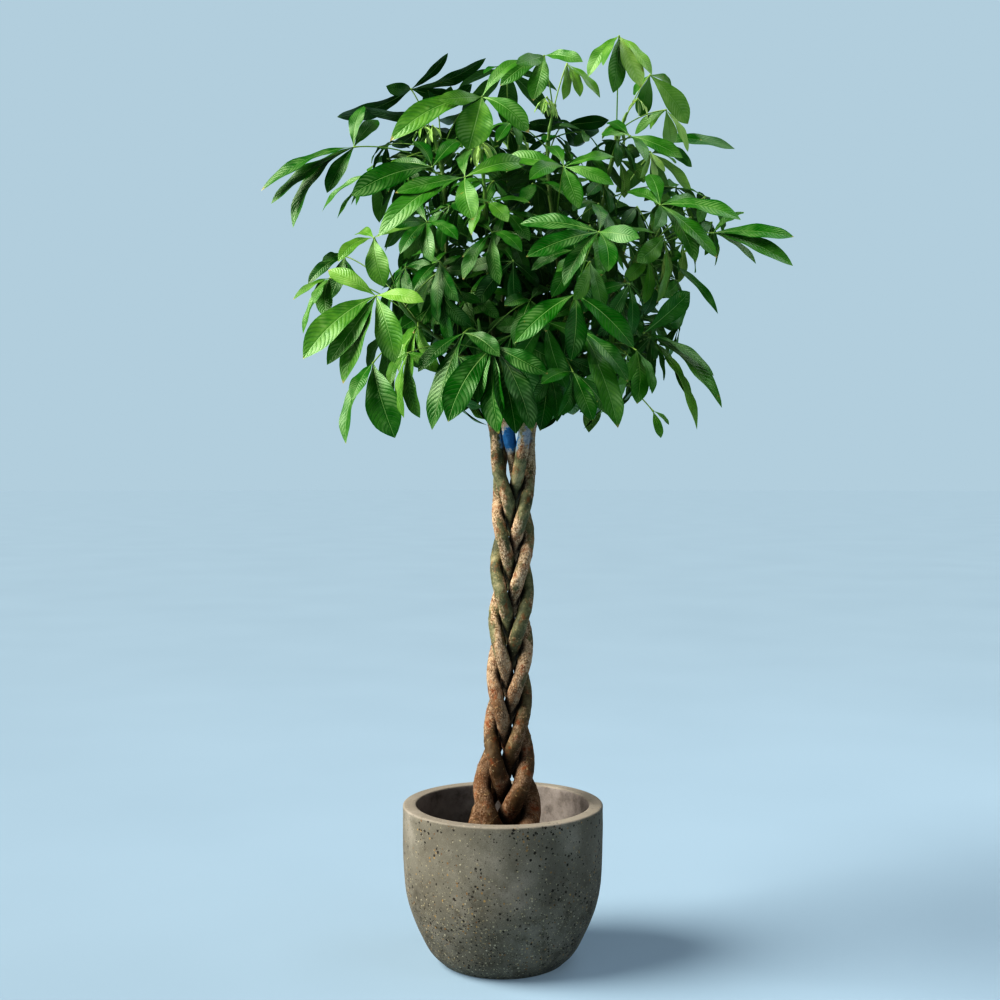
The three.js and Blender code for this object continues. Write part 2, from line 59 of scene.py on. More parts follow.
# Pot and soil, in millimetres
POT_RADIUS = 175
POT_HEIGHT = 275
POT_WALL = 24
POT_EDGE = 3.2  # rounding of the rim's two edges
POT_BASE = [(0, 0), (60, 0), (103, 0)]
POT_OUTSIDE = [(106, 0), (128, 21), (145, 52), (159, 85), (168.5, 116), (173, 154), (175, 215), (175, 272)]
POT_INSIDE_HEIGHTS = (265, 250, 232, 214, 196, 182, 160)
POT_INSIDE_BEND = (44, 150)  # between these heights the inside follows the outside
POT_FLOOR = [(100, 30), (50, 30), (0, 30)]
POT_SIDES = 220
POT_WOBBLE = 0.45
SOIL_EDGE_HEIGHT = 182
SOIL_MOUND = 9
SOIL_DEPTH = 22
SOIL_RINGS, SOIL_SIDES = 22, 120

# Braided trunk, in millimetres
STEM_COUNT = 5
STEM_ROOT = 125
STEM_BURIED = 20
STEM_RADIUS = 12.2
STEM_BASE_RADIUS = 17
STEM_TOP_RADIUS = 11
STEM_STEP = 31
STEM_POINTS_EVERY = 2.6
FLARE_LOW, FLARE_HIGH = 240, 430
BRAID_PITCH = 472
BRAID_CROSSING = 812
BRAID_SPREAD = 1.19
BRAID_DEPTH = 1.15
BRAID_STEEP = 0.2
BRAID_FOOT_SPREAD = 0.17
# Painted shade on the bark between stems: none at the first distance, all of it at the second
CREVICE_SHADE_REACH, CREVICE_SHADE_DEEP = 1.85, 1.3  # in stem radii from a neighbour's middle
TRUNK_LEAN = 0.029
TRUNK_UPRIGHT = 840
TRUNK_BOW = 2.5
STEM_TOP_SPREAD = 220  # how far up a stem's loose end would lean out twice as far
STEM_TOP_ROUNDING = 5
STEM_TOPS = [
    dict(way=[(9, -25, 860), (18, -26, 920), (28, -40, 985)], top=1030),
    dict(way=[(-24, 16, 860), (-19, 25, 920), (-24, 42, 985)], top=1062),
    dict(way=[(-27, -13, 860), (-31, -8, 920), (-46, -9, 985)], top=1042),
    dict(way=[(3, 4, 860), (-9, -18, 920), (-15, -40, 985)], top=1012),
    dict(way=[(27, 6, 860), (27, 10, 920), (40, 20, 985)], top=1070),
]

# Shoots, stalks and leaflets, in millimetres
SHOOT_RADIUS, SHOOT_TIP_RADIUS = 4.6, 2.4
SHOOT_SEAT = 7
SHOOT_LEAVING, SHOOT_ARRIVING = (0.22, 0.28), (0.12, 0.3)  # out and up, as shares of its reach
SHOOT_FOOT, SHOOT_KNOT = (2.2, 16), (0.9, 5)  # height and reach of a swelling
STALK_RADIUS = 1.5
STALK_FOOT, STALK_HEAD = (0.9, 7), (0.5, 5)  # swellings, the height in radii
STALK_SLANT = 0.45
STALK_SHARES = (0.22, 0.97)  # the part of a branch that bears stalks
STALK_BOW = 0.16
LEAFLET_LENGTH = 118
LEAFLET_WIDTH = 0.37
LEAFLET_ARCH = 0.085
LEAFLET_FOLD = 0.16
LEAFLET_HALF, YOUNG_NARROWER = 0.42, 0.15  # half a leaflet's width, as a share of its width
LEAFLET_TILT = 0.08
LEAFLET_UP = 0.75  # how far a leaf faces up for every step outwards
SHORTEST_LEAFLET = 0.72
LONGEST_IN_VIEW = 0.95
SILHOUETTE_TONE = 0.11  # a leaf below this tone is dark against the light, turned the other way
PAINTED_BACKLIGHT = 0.3  # painted backlight: how much paler a blade's colour is painted, more so the younger its tone, as it turns its face from the key light
SETTLE_STEP = 6
SETTLE_TURN = 0.11
SETTLE_SLIDE = 0.08
SETTLE_TRIES = 61
CORNER_REACH = 0.5
GOLDEN_ANGLE = math.radians(137.5)
FIRST_GROWN = 0.5
GROWN_STALK = 115
GROWN_DROOP = 0.5
GROWN_OUT = 0.9
GROWN_TONES = (0.28, 0.3)  # the deepest, and how much paler they get
OUTER_SHORTER = 0.35
LEAFLET_FANS = {5: (0, -55, 55, -112, 112), 6: (0, -46, 46, -95, 95, 148)}
CROWN_MIDDLE = Vector((20, 0, 1180))
BOX_CLEARANCE, FLATTENING = 0.5, 0.7  # a blade nearer to the solids' box has its arch flattened
DRAWN_IN = 12  # how deep a piece is drawn in that would stand out of the solids' box

# Where the viewer stands, in millimetres and in the pixels of a view 1000 wide
VIEW_MIDDLE = 500
VIEW_FOCAL = 1400
VIEW_EYE = Vector((-5, -2444, 857))
VIEW_PITCH = math.radians(1.2)
VIEW_SENSOR = 36


def leaf(hub, depth, tone, *tips, length=LEAFLET_LENGTH):
    """A leaf as the view shows it, with its depth and its tone from deep to young green.

    A leaflet has its tip, its width and sometimes a tone of its own.
    """
    return dict(hub=hub, depth=depth, tone=tone, tips=tips, length=length)


# Each shoot's stem, the depth of its root under that stem's top, its tip, how many leaves grow on it
# by rule, and the leaves that the view shows
SHOOTS = [
    dict(name="upper_left", stem=2, below=8, tip=(432, 132), depth=-10, grown=0, leaves=[
        leaf((411, 89), 40, 0.1, (486, 58, 9), (448, 53, 8), (386, 86, 11), (337, 117, 15),
             (453, 97, 14)),
        leaf((432, 167), -110, 0.22, (351, 196, 23), (414, 141, 14), (457, 141, 14), (392, 163, 10)),
        leaf((406, 158), -60, 0.7, (395, 178, 6), (409, 181, 6), (388, 168, 6), length=45),
        leaf((354, 147), -40, 0.34, (261, 191, 10), (271, 204, 9), (293, 228, 10), (327, 193, 14),
             (364, 106, 13), (378, 120, 13)),
        leaf((376, 172), 80, 0.45, (322, 212, 4), (337, 219, 3.5), (356, 206, 4)),
        leaf((438, 111), 90, 0.05, (363, 107, 10), (428, 90, 14), (451, 86, 14), (472, 84, 12)),
        leaf((424, 124), 60, 0.06, (392, 146, 11), (412, 166, 13), (440, 160, 14), (450, 132, 11),
             (400, 120, 9)),
        leaf((462, 112), 70, 0.1, (444, 150, 12), (470, 146, 12), (486, 128, 13), (441, 122, 10),
             (480, 92, 11)),
    ]),
    dict(name="upper_front_left", stem=3, below=6, tip=(480, 150), depth=-130, grown=0, leaves=[
        leaf((482, 97), -150, 0.55, (390, 141, 19), (468, 151, 34), (529, 133, 17), (520, 60, 13),
             (438, 100, 14)),
        leaf((465, 177), -240, 0.48, (395, 193, 14), (378, 237, 16), (473, 220, 22), (527, 163, 17),
             (469, 150, 12)),
        leaf((427, 222), -150, 0.3, (388, 226, 12), (400, 254, 12), (432, 262, 14), (458, 240, 12),
             (420, 190, 10)),
    ]),
    dict(name="low_front_left", stem=2, below=30, tip=(392, 285), depth=-170, grown=0, leaves=[
        leaf((376, 296), -300, 0.52, (303, 359, 24, 0.5), (327, 365, 18, 0.42), (343, 384, 18, 0.46),
             (395, 363, 27, 0.62), (424, 302, 15, 0.7), (328, 270, 17, 0.6)),
        leaf((374, 238), -160, 0.66, (384, 287, 25), (423, 220, 13), (357, 234, 10), (338, 262, 9)),
        leaf((330, 278), -110, 0.5, (293, 300, 5), (303, 334, 4), (315, 304, 8), (327, 318, 16)),
        leaf((373, 363), -230, 0.32, (395, 438, 34, 0.3), (346, 444, 12, 0.34), (352, 400, 14, 0.3)),
        leaf((440, 296), -80, 0.25, (401, 328, 22), (402, 290, 12), (425, 262, 12), (452, 270, 10)),
        leaf((418, 326), -170, 0.6, (399, 372, 9), (412, 380, 7), (438, 362, 12), (404, 345, 8)),
        leaf((345, 256), -20, 0.2, (308, 284, 10), (330, 300, 14), (366, 290, 10), (322, 262, 8)),
    ]),
    dict(name="low_front", stem=3, below=28, tip=(478, 318), depth=-190, grown=0, leaves=[
        leaf((408, 353), -250, 0.55, (404, 418, 9), (391, 385, 8), (420, 418, 14), (439, 373, 14)),
        leaf((464, 333), -280, 0.15, (432, 430, 19), (449, 412, 16), (418, 372, 14), (500, 357, 16)),
        leaf((494, 346), -330, 0.24, (448, 422, 28), (478, 405, 14), (499, 434, 22), (516, 434, 32),
             (532, 432, 22), (548, 374, 18)),
        leaf((440, 262), -170, 0.14, (413, 291, 12), (425, 238, 12), (459, 302, 14), (438, 312, 12)),
        leaf((530, 300), -170, 0.24, (514, 345, 14), (546, 332, 13), (504, 306, 12), (552, 290, 12)),
        leaf((548, 371), -150, 0.14, (540, 431, 18), (557, 422, 12), (530, 404, 12)),
    ]),
    dict(name="front_right", stem=0, below=26, tip=(585, 268), depth=-200, grown=0, leaves=[
        leaf((599, 232), -340, 0.26, (520, 224, 15, 0.2), (526, 257, 18, 0.22), (564, 286, 16),
             (608, 272, 18, 0.36), (640, 238, 18, 0.3), (592, 203, 13, 0.2)),
        leaf((590, 262), -280, 0.5, (602, 312, 15), (573, 300, 13), (556, 272, 12)),
        leaf((575, 294), -320, 0.24, (571, 361, 22), (634, 348, 20, 0.22), (515, 343, 20, 0.3),
             (602, 270, 12, 0.3)),
        leaf((580, 330), -270, 0.42, (618, 428, 24, 0.5), (602, 402, 18, 0.4), (628, 382, 16, 0.3)),
        leaf((573, 372), -190, 0.24, (558, 416, 14), (593, 421, 20), (609, 416, 14), (541, 384, 14)),
    ]),
    dict(name="low_right", stem=4, below=66, tip=(630, 322), depth=-60, grown=0, leaves=[
        leaf((644, 333), -120, 0.42, (714, 376, 7, 0.3), (722, 408, 13, 0.5), (693, 413, 9, 0.5),
             (697, 430, 6, 0.6), (690, 292, 22, 0.26)),
        leaf((636, 350), -190, 0.4, (637, 404, 18), (652, 394, 10), (617, 385, 12)),
        leaf((653, 411), -130, 0.5, (661, 438, 8), (669, 425, 4), length=42),
        leaf((640, 318), 20, 0.18, (655, 288, 12), (676, 330, 12), (612, 300, 12), (622, 352, 12)),
        leaf((624, 300), -70, 0.15, (596, 336, 14), (640, 338, 14), (600, 280, 12), (640, 276, 12)),
    ]),
    dict(name="right", stem=4, below=32, tip=(660, 228), depth=-20, grown=0, leaves=[
        leaf((660, 205), -130, 0.42, (741, 220, 15), (697, 198, 9), (717, 258, 13), (696, 262, 16),
             (649, 174, 16), (627, 192, 10), (655, 228, 13)),
        leaf((713, 233), -50, 0.4, (794, 237, 12.5), (793, 266, 12.5), (756, 264, 8), (744, 212, 8)),
        leaf((669, 262), 40, 0.32, (634, 272, 14), (718, 314, 7), (682, 258, 10), (650, 288, 12)),
    ]),
    dict(name="upper_right", stem=4, below=8, tip=(627, 112), depth=20, grown=0, leaves=[
        leaf((619, 36), -40, 0.6, (588, 77, 12, 0.5), (613, 93, 17, 0.4), (641, 87, 18, 0.82),
             (652, 75, 9, 0.75), (603, 66, 6, 0.5)),
        leaf((650, 75), 50, 0.55, (688, 124, 20, 0.68), (641, 117, 17, 0.4), (633, 94, 7, 0.4),
             (672, 88, 9, 0.6)),
        leaf((666, 110), 0, 0.7, (635, 134, 9, 0.4), (671, 146, 14, 0.72), (688, 152, 7, 0.85),
             (650, 128, 8, 0.6)),
        leaf((630, 136), -60, 0.4, (602, 133, 10), (609, 122, 9), (683, 158, 12), (646, 162, 10)),
        leaf((655, 142), 90, 0.34, (735, 149, 10), (702, 140, 9), (692, 167, 10)),
        leaf((650, 152), -100, 0.9, (640, 178, 6), (655, 186, 6), (665, 172, 6), length=60),
    ]),
    dict(name="top", stem=0, below=8, tip=(556, 104), depth=-60, grown=0, leaves=[
        leaf((544, 56), -70, 0.5, (533, 101, 18), (500, 86, 16), (583, 62, 11), (516, 64, 14)),
        leaf((567, 64), -20, 0.72, (563, 100, 9), (580, 97, 10), (600, 98, 8), length=60),
        leaf((564, 167), -220, 0.44, (529, 180, 14), (507, 157, 14), (579, 209, 19), (614, 185, 12),
             (547, 146, 11), (614, 157, 10)),
        leaf((563, 125), 20, 0.04, (609, 120, 13), (599, 132, 12), (582, 145, 12), (529, 122, 12),
             (545, 105, 10)),
        leaf((492, 232), -150, 0.36, (463, 280, 13), (500, 285, 14), (522, 252, 12), (468, 222, 11)),
    ]),
    dict(name="back_left", stem=1, below=21, tip=(425, 215), depth=190, grown=4, leaves=[]),
    dict(name="back_top", stem=1, below=7, tip=(510, 135), depth=180, grown=4, leaves=[]),
    dict(name="back_right", stem=4, below=50, tip=(610, 200), depth=200, grown=4, leaves=[]),
    dict(name="low_back", stem=1, below=35, tip=(520, 300), depth=230, grown=4, leaves=[]),
    dict(name="low_back_left", stem=1, below=49, tip=(430, 320), depth=120, grown=3, leaves=[]),
    dict(name="low_back_right", stem=4, below=82, tip=(590, 330), depth=160, grown=3, leaves=[]),
]

# Leaf colours, from deep to young green
UPPER_TONES = [(0.0, "053a02"), (0.25, "0c5d06"), (0.5, "3f7a22"), (0.75, "72a23c"), (1.0, "aacb72")]
UNDER_TONES = [(0.0, "1a4a10"), (0.3, "3b6c26"), (0.6, "6e964c"), (1.0, "aec686")]

# Where the finishes change, in metres: from none of a change to all of it
BARK_BROWN = (0.66, 0.3)
BARK_CORKY = (0.74, 0.86)
POT_CROWDED = (0.23, 0.07)
POT_DARK = (0.23, 0.02)
POT_RIM_PALER = (0.2745, 0.2775)
POT_INSIDE_RADII = (0.153, 0.1515)
POT_INSIDE_FROM, POT_INSIDE_UNTIL = (0.12, 0.13), (0.2745, 0.272)

# The dabs of paint on two stems, in metres
PAINT_MIDDLE = (0.012, -0.028, 0.912)
PAINT_REACH = (0.016, 0.04, 0.021)
FAINT_MIDDLE = (0.043, -0.02, 0.915)
FAINT_REACH = (0.012, 0.03, 0.022)

# Studio
FLOOR_SHADES = ("889cab", "8a9ead")
FLOOR_GLOW = 0.3
FLOOR_RADIUS = 60
AROUND_SHADE = "d5e4ee"
AROUND_STRENGTH = 0.08
BACKDROP_SHADE = "a2b6c1"
KEY_FROM = Vector((-2.35, -0.5, 2.1)).normalized()
KEY_SHADE = "fffaf0"
KEY_STRENGTH = 5.1
KEY_SOFTNESS = math.radians(40)
LAMP_SHADE = "f4f9ff"
LAMPS = [
    ("Front", (-1.2, -3.6, 2.2), (0, 0, 1.0), 2.6, 9),
    ("Top", (1.6, 0.4, 3.4), (0, 0, 1.2), 2.0, 20),
    ("Right", (2.1, -1.7, 2.5), (0.1, 0, 1.45), 1.8, 11),
]

# The half width of a leaflet along its rib, and how wide it is where others are kept clear of it
BLADE_OUTLINE = [(0, 0.035), (0.08, 0.13), (0.26, 0.54), (0.44, 0.86), (0.61, 1), (0.75, 0.93), (0.87, 0.66),
                 (0.95, 0.3), (1, 0)]
BLADE_CLEARANCE = [(0.15, 0.3), (0.25, 0.5), (0.35, 0.75), (0.45, 0.9), (0.55, 1), (0.65, 0.98),
                   (0.75, 0.85), (0.85, 0.6), (0.93, 0.3), (1.0, 0.0)]
BLADE_RIM_ANGLE = 1.3  # edges sharper than this, in radians, stay sharp

# Leaves that fill the crown between the table's leaves: the middle and reach of each part of it, how
# many leaves it gets, and their tones and lengths
FILL_SEED = 11
FILL_ZONES = [
    dict(middle=(65, 20, 1160), reach=(255, 250, 215), count=125, tones=(0.05, 0.5), lengths=(70, 118)),
    dict(middle=(60, 40, 1395), reach=(200, 150, 95), count=16, tones=(0.1, 0.5), lengths=(60, 95)),
    dict(middle=(-130, 60, 1385), reach=(115, 120, 80), count=16, tones=(0.0, 0.25), lengths=(50, 85)),
    dict(middle=(285, 40, 1270), reach=(100, 120, 110), count=9, tones=(0.25, 0.5), lengths=(60, 95)),
]
FILL_STALKS = (30, 200)
FILL_TRIES = 160
FILL_WITHIN = 1.25  # how far tips may stand out of their part, squared
FILL_TONE = 0.2  # of the stalks
CLEAR_CELL = 7
YOUNG_SHOOTS = ("upper_left", "upper_front_left", "upper_right", "top", "back_top")
YOUNG_LEAVES = 2
YOUNG_TONE = 0.9


def colour(code):
    """A colour for a shader socket, from its six-digit code."""
    shown = [int(code[i:i + 2], 16) / 255 for i in (0, 2, 4)]
    return tuple(c / 12.92 if c < 0.04045 else ((c + 0.055) / 1.055) ** 2.4 for c in shown) + (1.0,)


def reached(value, low, high):
    """How far a value has come from one limit to the other, held at 0 and 1."""
    return min(max((value - low) / (high - low), 0), 1)


def eased(share):
    return share * share * (3 - 2 * share)


# Lines through space


class Line:
    """A line through points in millimetres, read by share of its length."""

    def __init__(self, points):
        self.points = np.array([tuple(p) for p in points], float)
        steps = np.linalg.norm(np.diff(self.points, axis=0), axis=1)
        self.reached = np.concatenate([[0.0], np.cumsum(steps)])
        self.length = self.reached[-1]

    def spaced(self, shares):
        """Points at shares of the line's length."""
        wanted = np.asarray(shares, float) * self.length
        return np.stack([np.interp(wanted, self.reached, self.points[:, i]) for i in range(3)], axis=1)

    def at(self, share):
        return Vector(self.spaced([share])[0])

    def evenly(self, count):
        """Points at equal steps, both ends with them."""
        return self.spaced(np.linspace(0, 1, count))


def smooth_through(points, per_span=10):
    """Points of a centripetal Catmull-Rom curve through the given ones."""
    p = [np.array(tuple(q), float) for q in points]
    p = [2 * p[0] - p[1], *p, 2 * p[-1] - p[-2]]
    made = []
    for a, b, c, d in zip(p, p[1:], p[2:], p[3:]):
        before, here, after = (np.linalg.norm(to - start) ** 0.5 for start, to in ((a, b), (b, c), (c, d)))
        leaving = ((b - a) / before - (c - a) / (before + here) + (c - b) / here) * here
        arriving = ((c - b) / here - (d - b) / (here + after) + (d - c) / after) * here
        for step in range(per_span):
            t = step / per_span
            bend = -3 * b + 3 * c - 2 * leaving - arriving
            made.append(b + leaving * t + bend * t ** 2 + (2 * b - 2 * c + leaving + arriving) * t ** 3)
    return [*made, p[-2]]


def bezier(points, count):
    """Points along a Bezier curve of any degree."""
    degree = len(points) - 1
    shares = np.linspace(0, 1, count)
    made = np.zeros((count, 3))
    for i, point in enumerate(points):
        weight = math.comb(degree, i) * shares ** i * (1 - shares) ** (degree - i)
        made += weight[:, None] * np.array(tuple(point), float)
    return made


def in_view(pixel, depth):
    """The place that the viewer sees at a pixel, at a depth behind the trunk."""
    right = (pixel[0] - VIEW_MIDDLE) / VIEW_FOCAL
    up = (VIEW_MIDDLE - pixel[1]) / VIEW_FOCAL
    ahead = math.cos(VIEW_PITCH) + up * math.sin(VIEW_PITCH)
    rise = up * math.cos(VIEW_PITCH) - math.sin(VIEW_PITCH)
    reach = (depth - VIEW_EYE.y) / ahead
    return Vector((VIEW_EYE.x + reach * right, depth, VIEW_EYE.z + reach * rise))


def found_by_place(points):
    """Points to search by place."""
    tree = kdtree.KDTree(len(points))
    for i, point in enumerate(points):
        tree.insert(point, i)
    tree.balance()
    return tree


# Braided trunk


def trunk_middle(height):
    rise = min(height, TRUNK_UPRIGHT) - SOIL_EDGE_HEIGHT
    bow = TRUNK_BOW * math.sin(math.pi * rise / (BRAID_CROSSING - SOIL_EDGE_HEIGHT))
    return TRUNK_LEAN * rise + (bow if height < BRAID_CROSSING else 0)


def flare(height):
    """1 at the trunk's foot, 0 from where it has narrowed."""
    return 1 - eased(reached(height, FLARE_LOW, FLARE_HIGH))


def stem_radius(height):
    up = reached(height, FLARE_HIGH, BRAID_CROSSING)
    upper = STEM_RADIUS + (STEM_TOP_RADIUS - STEM_RADIUS) * up
    return upper + (STEM_BASE_RADIUS - upper) * flare(height)


def braid_place(stem, height):
    turn = math.pi + 2 * math.pi * (BRAID_CROSSING - height) / BRAID_PITCH + 2 * math.pi * stem / STEM_COUNT
    width = 2 * stem_radius(height) * (1 + BRAID_FOOT_SPREAD * flare(height))
    across = math.sin(turn - BRAID_STEEP * math.sin(2 * turn))
    return Vector((trunk_middle(height) + width * BRAID_SPREAD * across,
                   width * BRAID_DEPTH * math.sin(2 * turn), height))


def stem_line(stem):
    """A stem's way up through the braid, and loose from the last crossing to its top."""
    points = [braid_place(stem, height) for height in range(STEM_ROOT, BRAID_CROSSING + 1, STEM_STEP)]
    way, top = STEM_TOPS[stem]["way"], STEM_TOPS[stem]["top"]
    points += [Vector((trunk_middle(height) + x, y, height)) for x, y, height in way]
    x, y, height = way[-1]
    onward = 1 + (top - height) / STEM_TOP_SPREAD
    points.append(Vector((trunk_middle(top) + x * onward, y * onward, top)))
    return Line(smooth_through(points))


# Shoots and leaves


def shoot_line(shoot, stem):
    """A shoot's branch, steep at first, from inside its stem to its tip."""
    root = stem.at(1 - shoot["below"] / stem.length)
    tip = in_view(shoot["tip"], shoot["depth"])
    out = Vector((tip.x - root.x, tip.y - root.y, 0)).normalized()
    start = root + out * (stem_radius(root.z) - SHOOT_SEAT)
    reach = (tip - start).length
    leaving = start + out * SHOOT_LEAVING[0] * reach + Vector((0, 0, SHOOT_LEAVING[1] * reach))
    arriving = tip - out * SHOOT_ARRIVING[0] * reach - Vector((0, 0, SHOOT_ARRIVING[1] * reach))
    return Line(bezier([start, leaving, arriving, tip], 200))


def leaf_facing(hub):
    """The way that a leaf's upper side faces: out from the crown's middle, and up."""
    return ((hub - CROWN_MIDDLE).normalized() + Vector((0, 0, LEAFLET_UP))).normalized()


def seen_leaf(leaf, swing):
    """Hub, tips and facing of a leaf whose hub and leaflet tips the view shows."""
    depth = leaf["depth"] + SETTLE_STEP * swing
    hub = in_view(leaf["hub"], depth)
    tips = []
    for tip in leaf["tips"]:
        seen = (in_view(tip, depth) - hub).length
        length = max(seen / LONGEST_IN_VIEW, SHORTEST_LEAFLET * leaf["length"])
        towards = math.sqrt(length ** 2 - seen ** 2)
        nearer = (tip[1] > leaf["hub"][1]) == (leaf["depth"] < 0)
        tips.append(in_view(tip, depth - towards if nearer else depth + towards))
    return hub, tips, leaf_facing(in_view(leaf["hub"], leaf["depth"]))


def fan(hub, out, facing, angles, length, droop):
    """Leaflet tips spread round a hub, hanging below the plane of the leaf."""
    ahead = (out - facing * out.dot(facing)).normalized()
    beside = facing.cross(ahead)
    tips = []
    for degrees in angles:
        turn = math.radians(degrees)
        along = ahead * math.cos(turn) + beside * math.sin(turn) - facing * droop
        tips.append(hub + along.normalized() * length * (1.1 - OUTER_SHORTER * abs(degrees) / 150))
    return tips


def grown_leaf(shoot, index, swing):
    """Hub, tips and facing of a leaf that the rule places on its shoot."""
    share = FIRST_GROWN + (1 - FIRST_GROWN) * index / (shoot["grown"] - 1)
    start = shoot["line"].at(share)
    angle = GOLDEN_ANGLE * index + shoot["number"] + SETTLE_TURN * swing
    around = Vector((math.cos(angle), math.sin(angle), 0.55 + 0.3 * share))
    out = (start - CROWN_MIDDLE).normalized()
    hub = start + (around + out * GROWN_OUT).normalized() * GROWN_STALK
    facing = leaf_facing(hub)
    angles = LEAFLET_FANS[5 + (index + shoot["number"]) % 2]
    return hub, fan(hub, out, facing, angles, LEAFLET_LENGTH, GROWN_DROOP), facing


def stalk_points(shoot, hub, slide):
    """The stalk leaves its shoot a little below the point nearest the hub, and bows upwards."""
    line = shoot["line"]
    samples = 40
    away = np.linalg.norm(line.evenly(samples + 1) - np.array(hub), axis=1)
    nearest = int(away.argmin())
    share = nearest / samples - STALK_SLANT * away[nearest] / line.length + slide
    start = line.at(min(max(share, STALK_SHARES[0]), STALK_SHARES[1]))
    bow = (start + hub) / 2 + Vector((0, 0, STALK_BOW * (hub - start).length))
    return bezier([start, bow, hub + (hub - bow).normalized()], 14)


def settled(shoot, leaf, corners):
    """The shape of a leaf whose tips lie on corners of the solid, and its stalk's slide."""
    best = -1
    for setting in range(SETTLE_TRIES + 1):
        swing = math.ceil(setting / 2) * (1 if setting % 2 else -1)
        shape = seen_leaf(leaf, swing) if "hub" in leaf else grown_leaf(shoot, leaf["index"], swing)
        met = sum(corners.find(tip)[2] < CORNER_REACH for tip in shape[1])
        if met > best:
            best, found = met, (shape, SETTLE_SLIDE * (0, 1, -1)[setting % 3])
        if met == len(shape[1]):
            break
    return found


def turned_blade(normal, ahead, hub, length, seen, lean):
    """The facing and half width that give a leaflet its seen width: partly narrow, partly turned aside."""
    towards = VIEW_EYE - hub
    best = (towards - ahead * towards.dot(ahead)).normalized()
    seen *= towards.length / VIEW_FOCAL
    real = max(math.sqrt(seen * (LEAFLET_WIDTH * length)), seen)
    aside = math.acos(min(seen / real, 0.97))
    side = (normal - best * normal.dot(best)).normalized()
    return best * math.cos(aside) + side * math.sin(aside) * lean, real / 2


def leaflets(shape, tone, chance, young=0.0, seen=()):
    """The leaflets of a leaf, each with what its blade needs. The view gives some their width and tone."""
    hub, tips, facing = shape
    made = []
    for i, tip in enumerate(tips):
        along = tip - hub
        ahead = along.normalized()
        normal = (facing - ahead * facing.dot(ahead)).normalized()
        half_width = LEAFLET_WIDTH * along.length * (LEAFLET_HALF - YOUNG_NARROWER * young)
        own = tone
        if seen:
            width, own = (*seen[i][2:], tone)[:2]
            lean = -1 if tone < SILHOUETTE_TONE else 1
            normal, half_width = turned_blade(normal, ahead, hub, along.length, width, lean)
        normal = (normal + ahead.cross(normal) * chance.gauss(0, LEAFLET_TILT)).normalized()
        # Painted backlight: a blade turned from the key light gets a paler tone, standing in for light
        # shining through it
        painted_glow = PAINTED_BACKLIGHT * own * max(0, 0.3 - normal.dot(KEY_FROM))
        made.append(kept_inside(dict(
            hub=hub, tip=tip, facing=normal, half_width=half_width * chance.uniform(0.94, 1.06),
            arch=LEAFLET_ARCH * chance.uniform(0.75, 1.35),
            fold=LEAFLET_FOLD * chance.uniform(0.6, 1.5) + 0.5 * young,
            wave=chance.uniform(0.008, 0.02),
            bend=chance.gauss(0, 0.025),
            phase=chance.random(),
            tone=min(max(own + painted_glow + chance.gauss(0, 0.05), 0), 1),
        )))
    return made


def clearance(place):
    """How far inside the solids' box a place lies."""
    low, high = (np.array(corner) / MM for corner in cad_box)
    return min((np.array(place) - low).min(), (high - np.array(place)).min())


def kept_inside(leaflet):
    """Flattens a leaflet's arch where it would rise out of the solids' box."""
    along = leaflet["tip"] - leaflet["hub"]
    for _ in range(8):
        left = []
        for share in (0.3, 0.5, 0.7):
            rise = 4 * leaflet["arch"] * share * (1 - share) * along.length + 0.3 * leaflet["half_width"]
            left.append(clearance(leaflet["hub"] + along * share + leaflet["facing"] * rise))
        if min(left) > BOX_CLEARANCE:
            break
        leaflet["arch"] *= FLATTENING
        leaflet["fold"] *= FLATTENING
    return leaflet


def cells_of(leaflet):
    """The cells of space that a leaflet passes through, to keep others clear of them."""
    along = leaflet["tip"] - leaflet["hub"]
    side = leaflet["facing"].cross(along.normalized())
    cells = set()
    for share, width in BLADE_CLEARANCE:
        rib = leaflet["hub"] + along * share
        rib += leaflet["facing"] * 4 * leaflet["arch"] * along.length * share * (1 - share)
        for across in (-1, -0.5, 0, 0.5, 1):
            place = rib + side * across * width * leaflet["half_width"]
            cells.add(tuple(round(c / CLEAR_CELL) for c in place))
    return cells


def within(zone, place):
    return sum(((place[i] - zone["middle"][i]) / zone["reach"][i]) ** 2 for i in range(3)) < FILL_WITHIN


def fill_leaf(zone, chance):
    """A leaf somewhere in one part of the crown."""
    while True:
        step = Vector((chance.uniform(-1, 1), chance.uniform(-1, 1), chance.uniform(-1, 1)))
        if step.length < 1:
            break
    hub = Vector([m + r * c for m, r, c in zip(zone["middle"], zone["reach"], step)])
    out = (hub - CROWN_MIDDLE).normalized()
    facing = (leaf_facing(hub) + Vector([chance.gauss(0, 0.25) for _ in range(3)])).normalized()
    angles = chance.choice(list(LEAFLET_FANS.values()))
    length, droop = chance.uniform(*zone["lengths"]), chance.uniform(0.35, 1.0)
    return hub, fan(hub, out, facing, angles, length, droop), facing


def young_leaf(shoot, chance):
    """A half-open leaf near the tip of a shoot, its leaflets hanging."""
    start = shoot["line"].at(chance.uniform(0.93, 1))
    angle = chance.uniform(0, 2 * math.pi)
    around = Vector((math.cos(angle), math.sin(angle), chance.uniform(0.5, 1.5)))
    hub = start + around * chance.uniform(12, 22)
    out = (hub - CROWN_MIDDLE).normalized()
    facing = leaf_facing(hub)
    length, droop = chance.uniform(28, 48), chance.uniform(0.9, 1.7)
    return hub, fan(hub, out, facing, LEAFLET_FANS[5], length, droop), facing


# Node trees


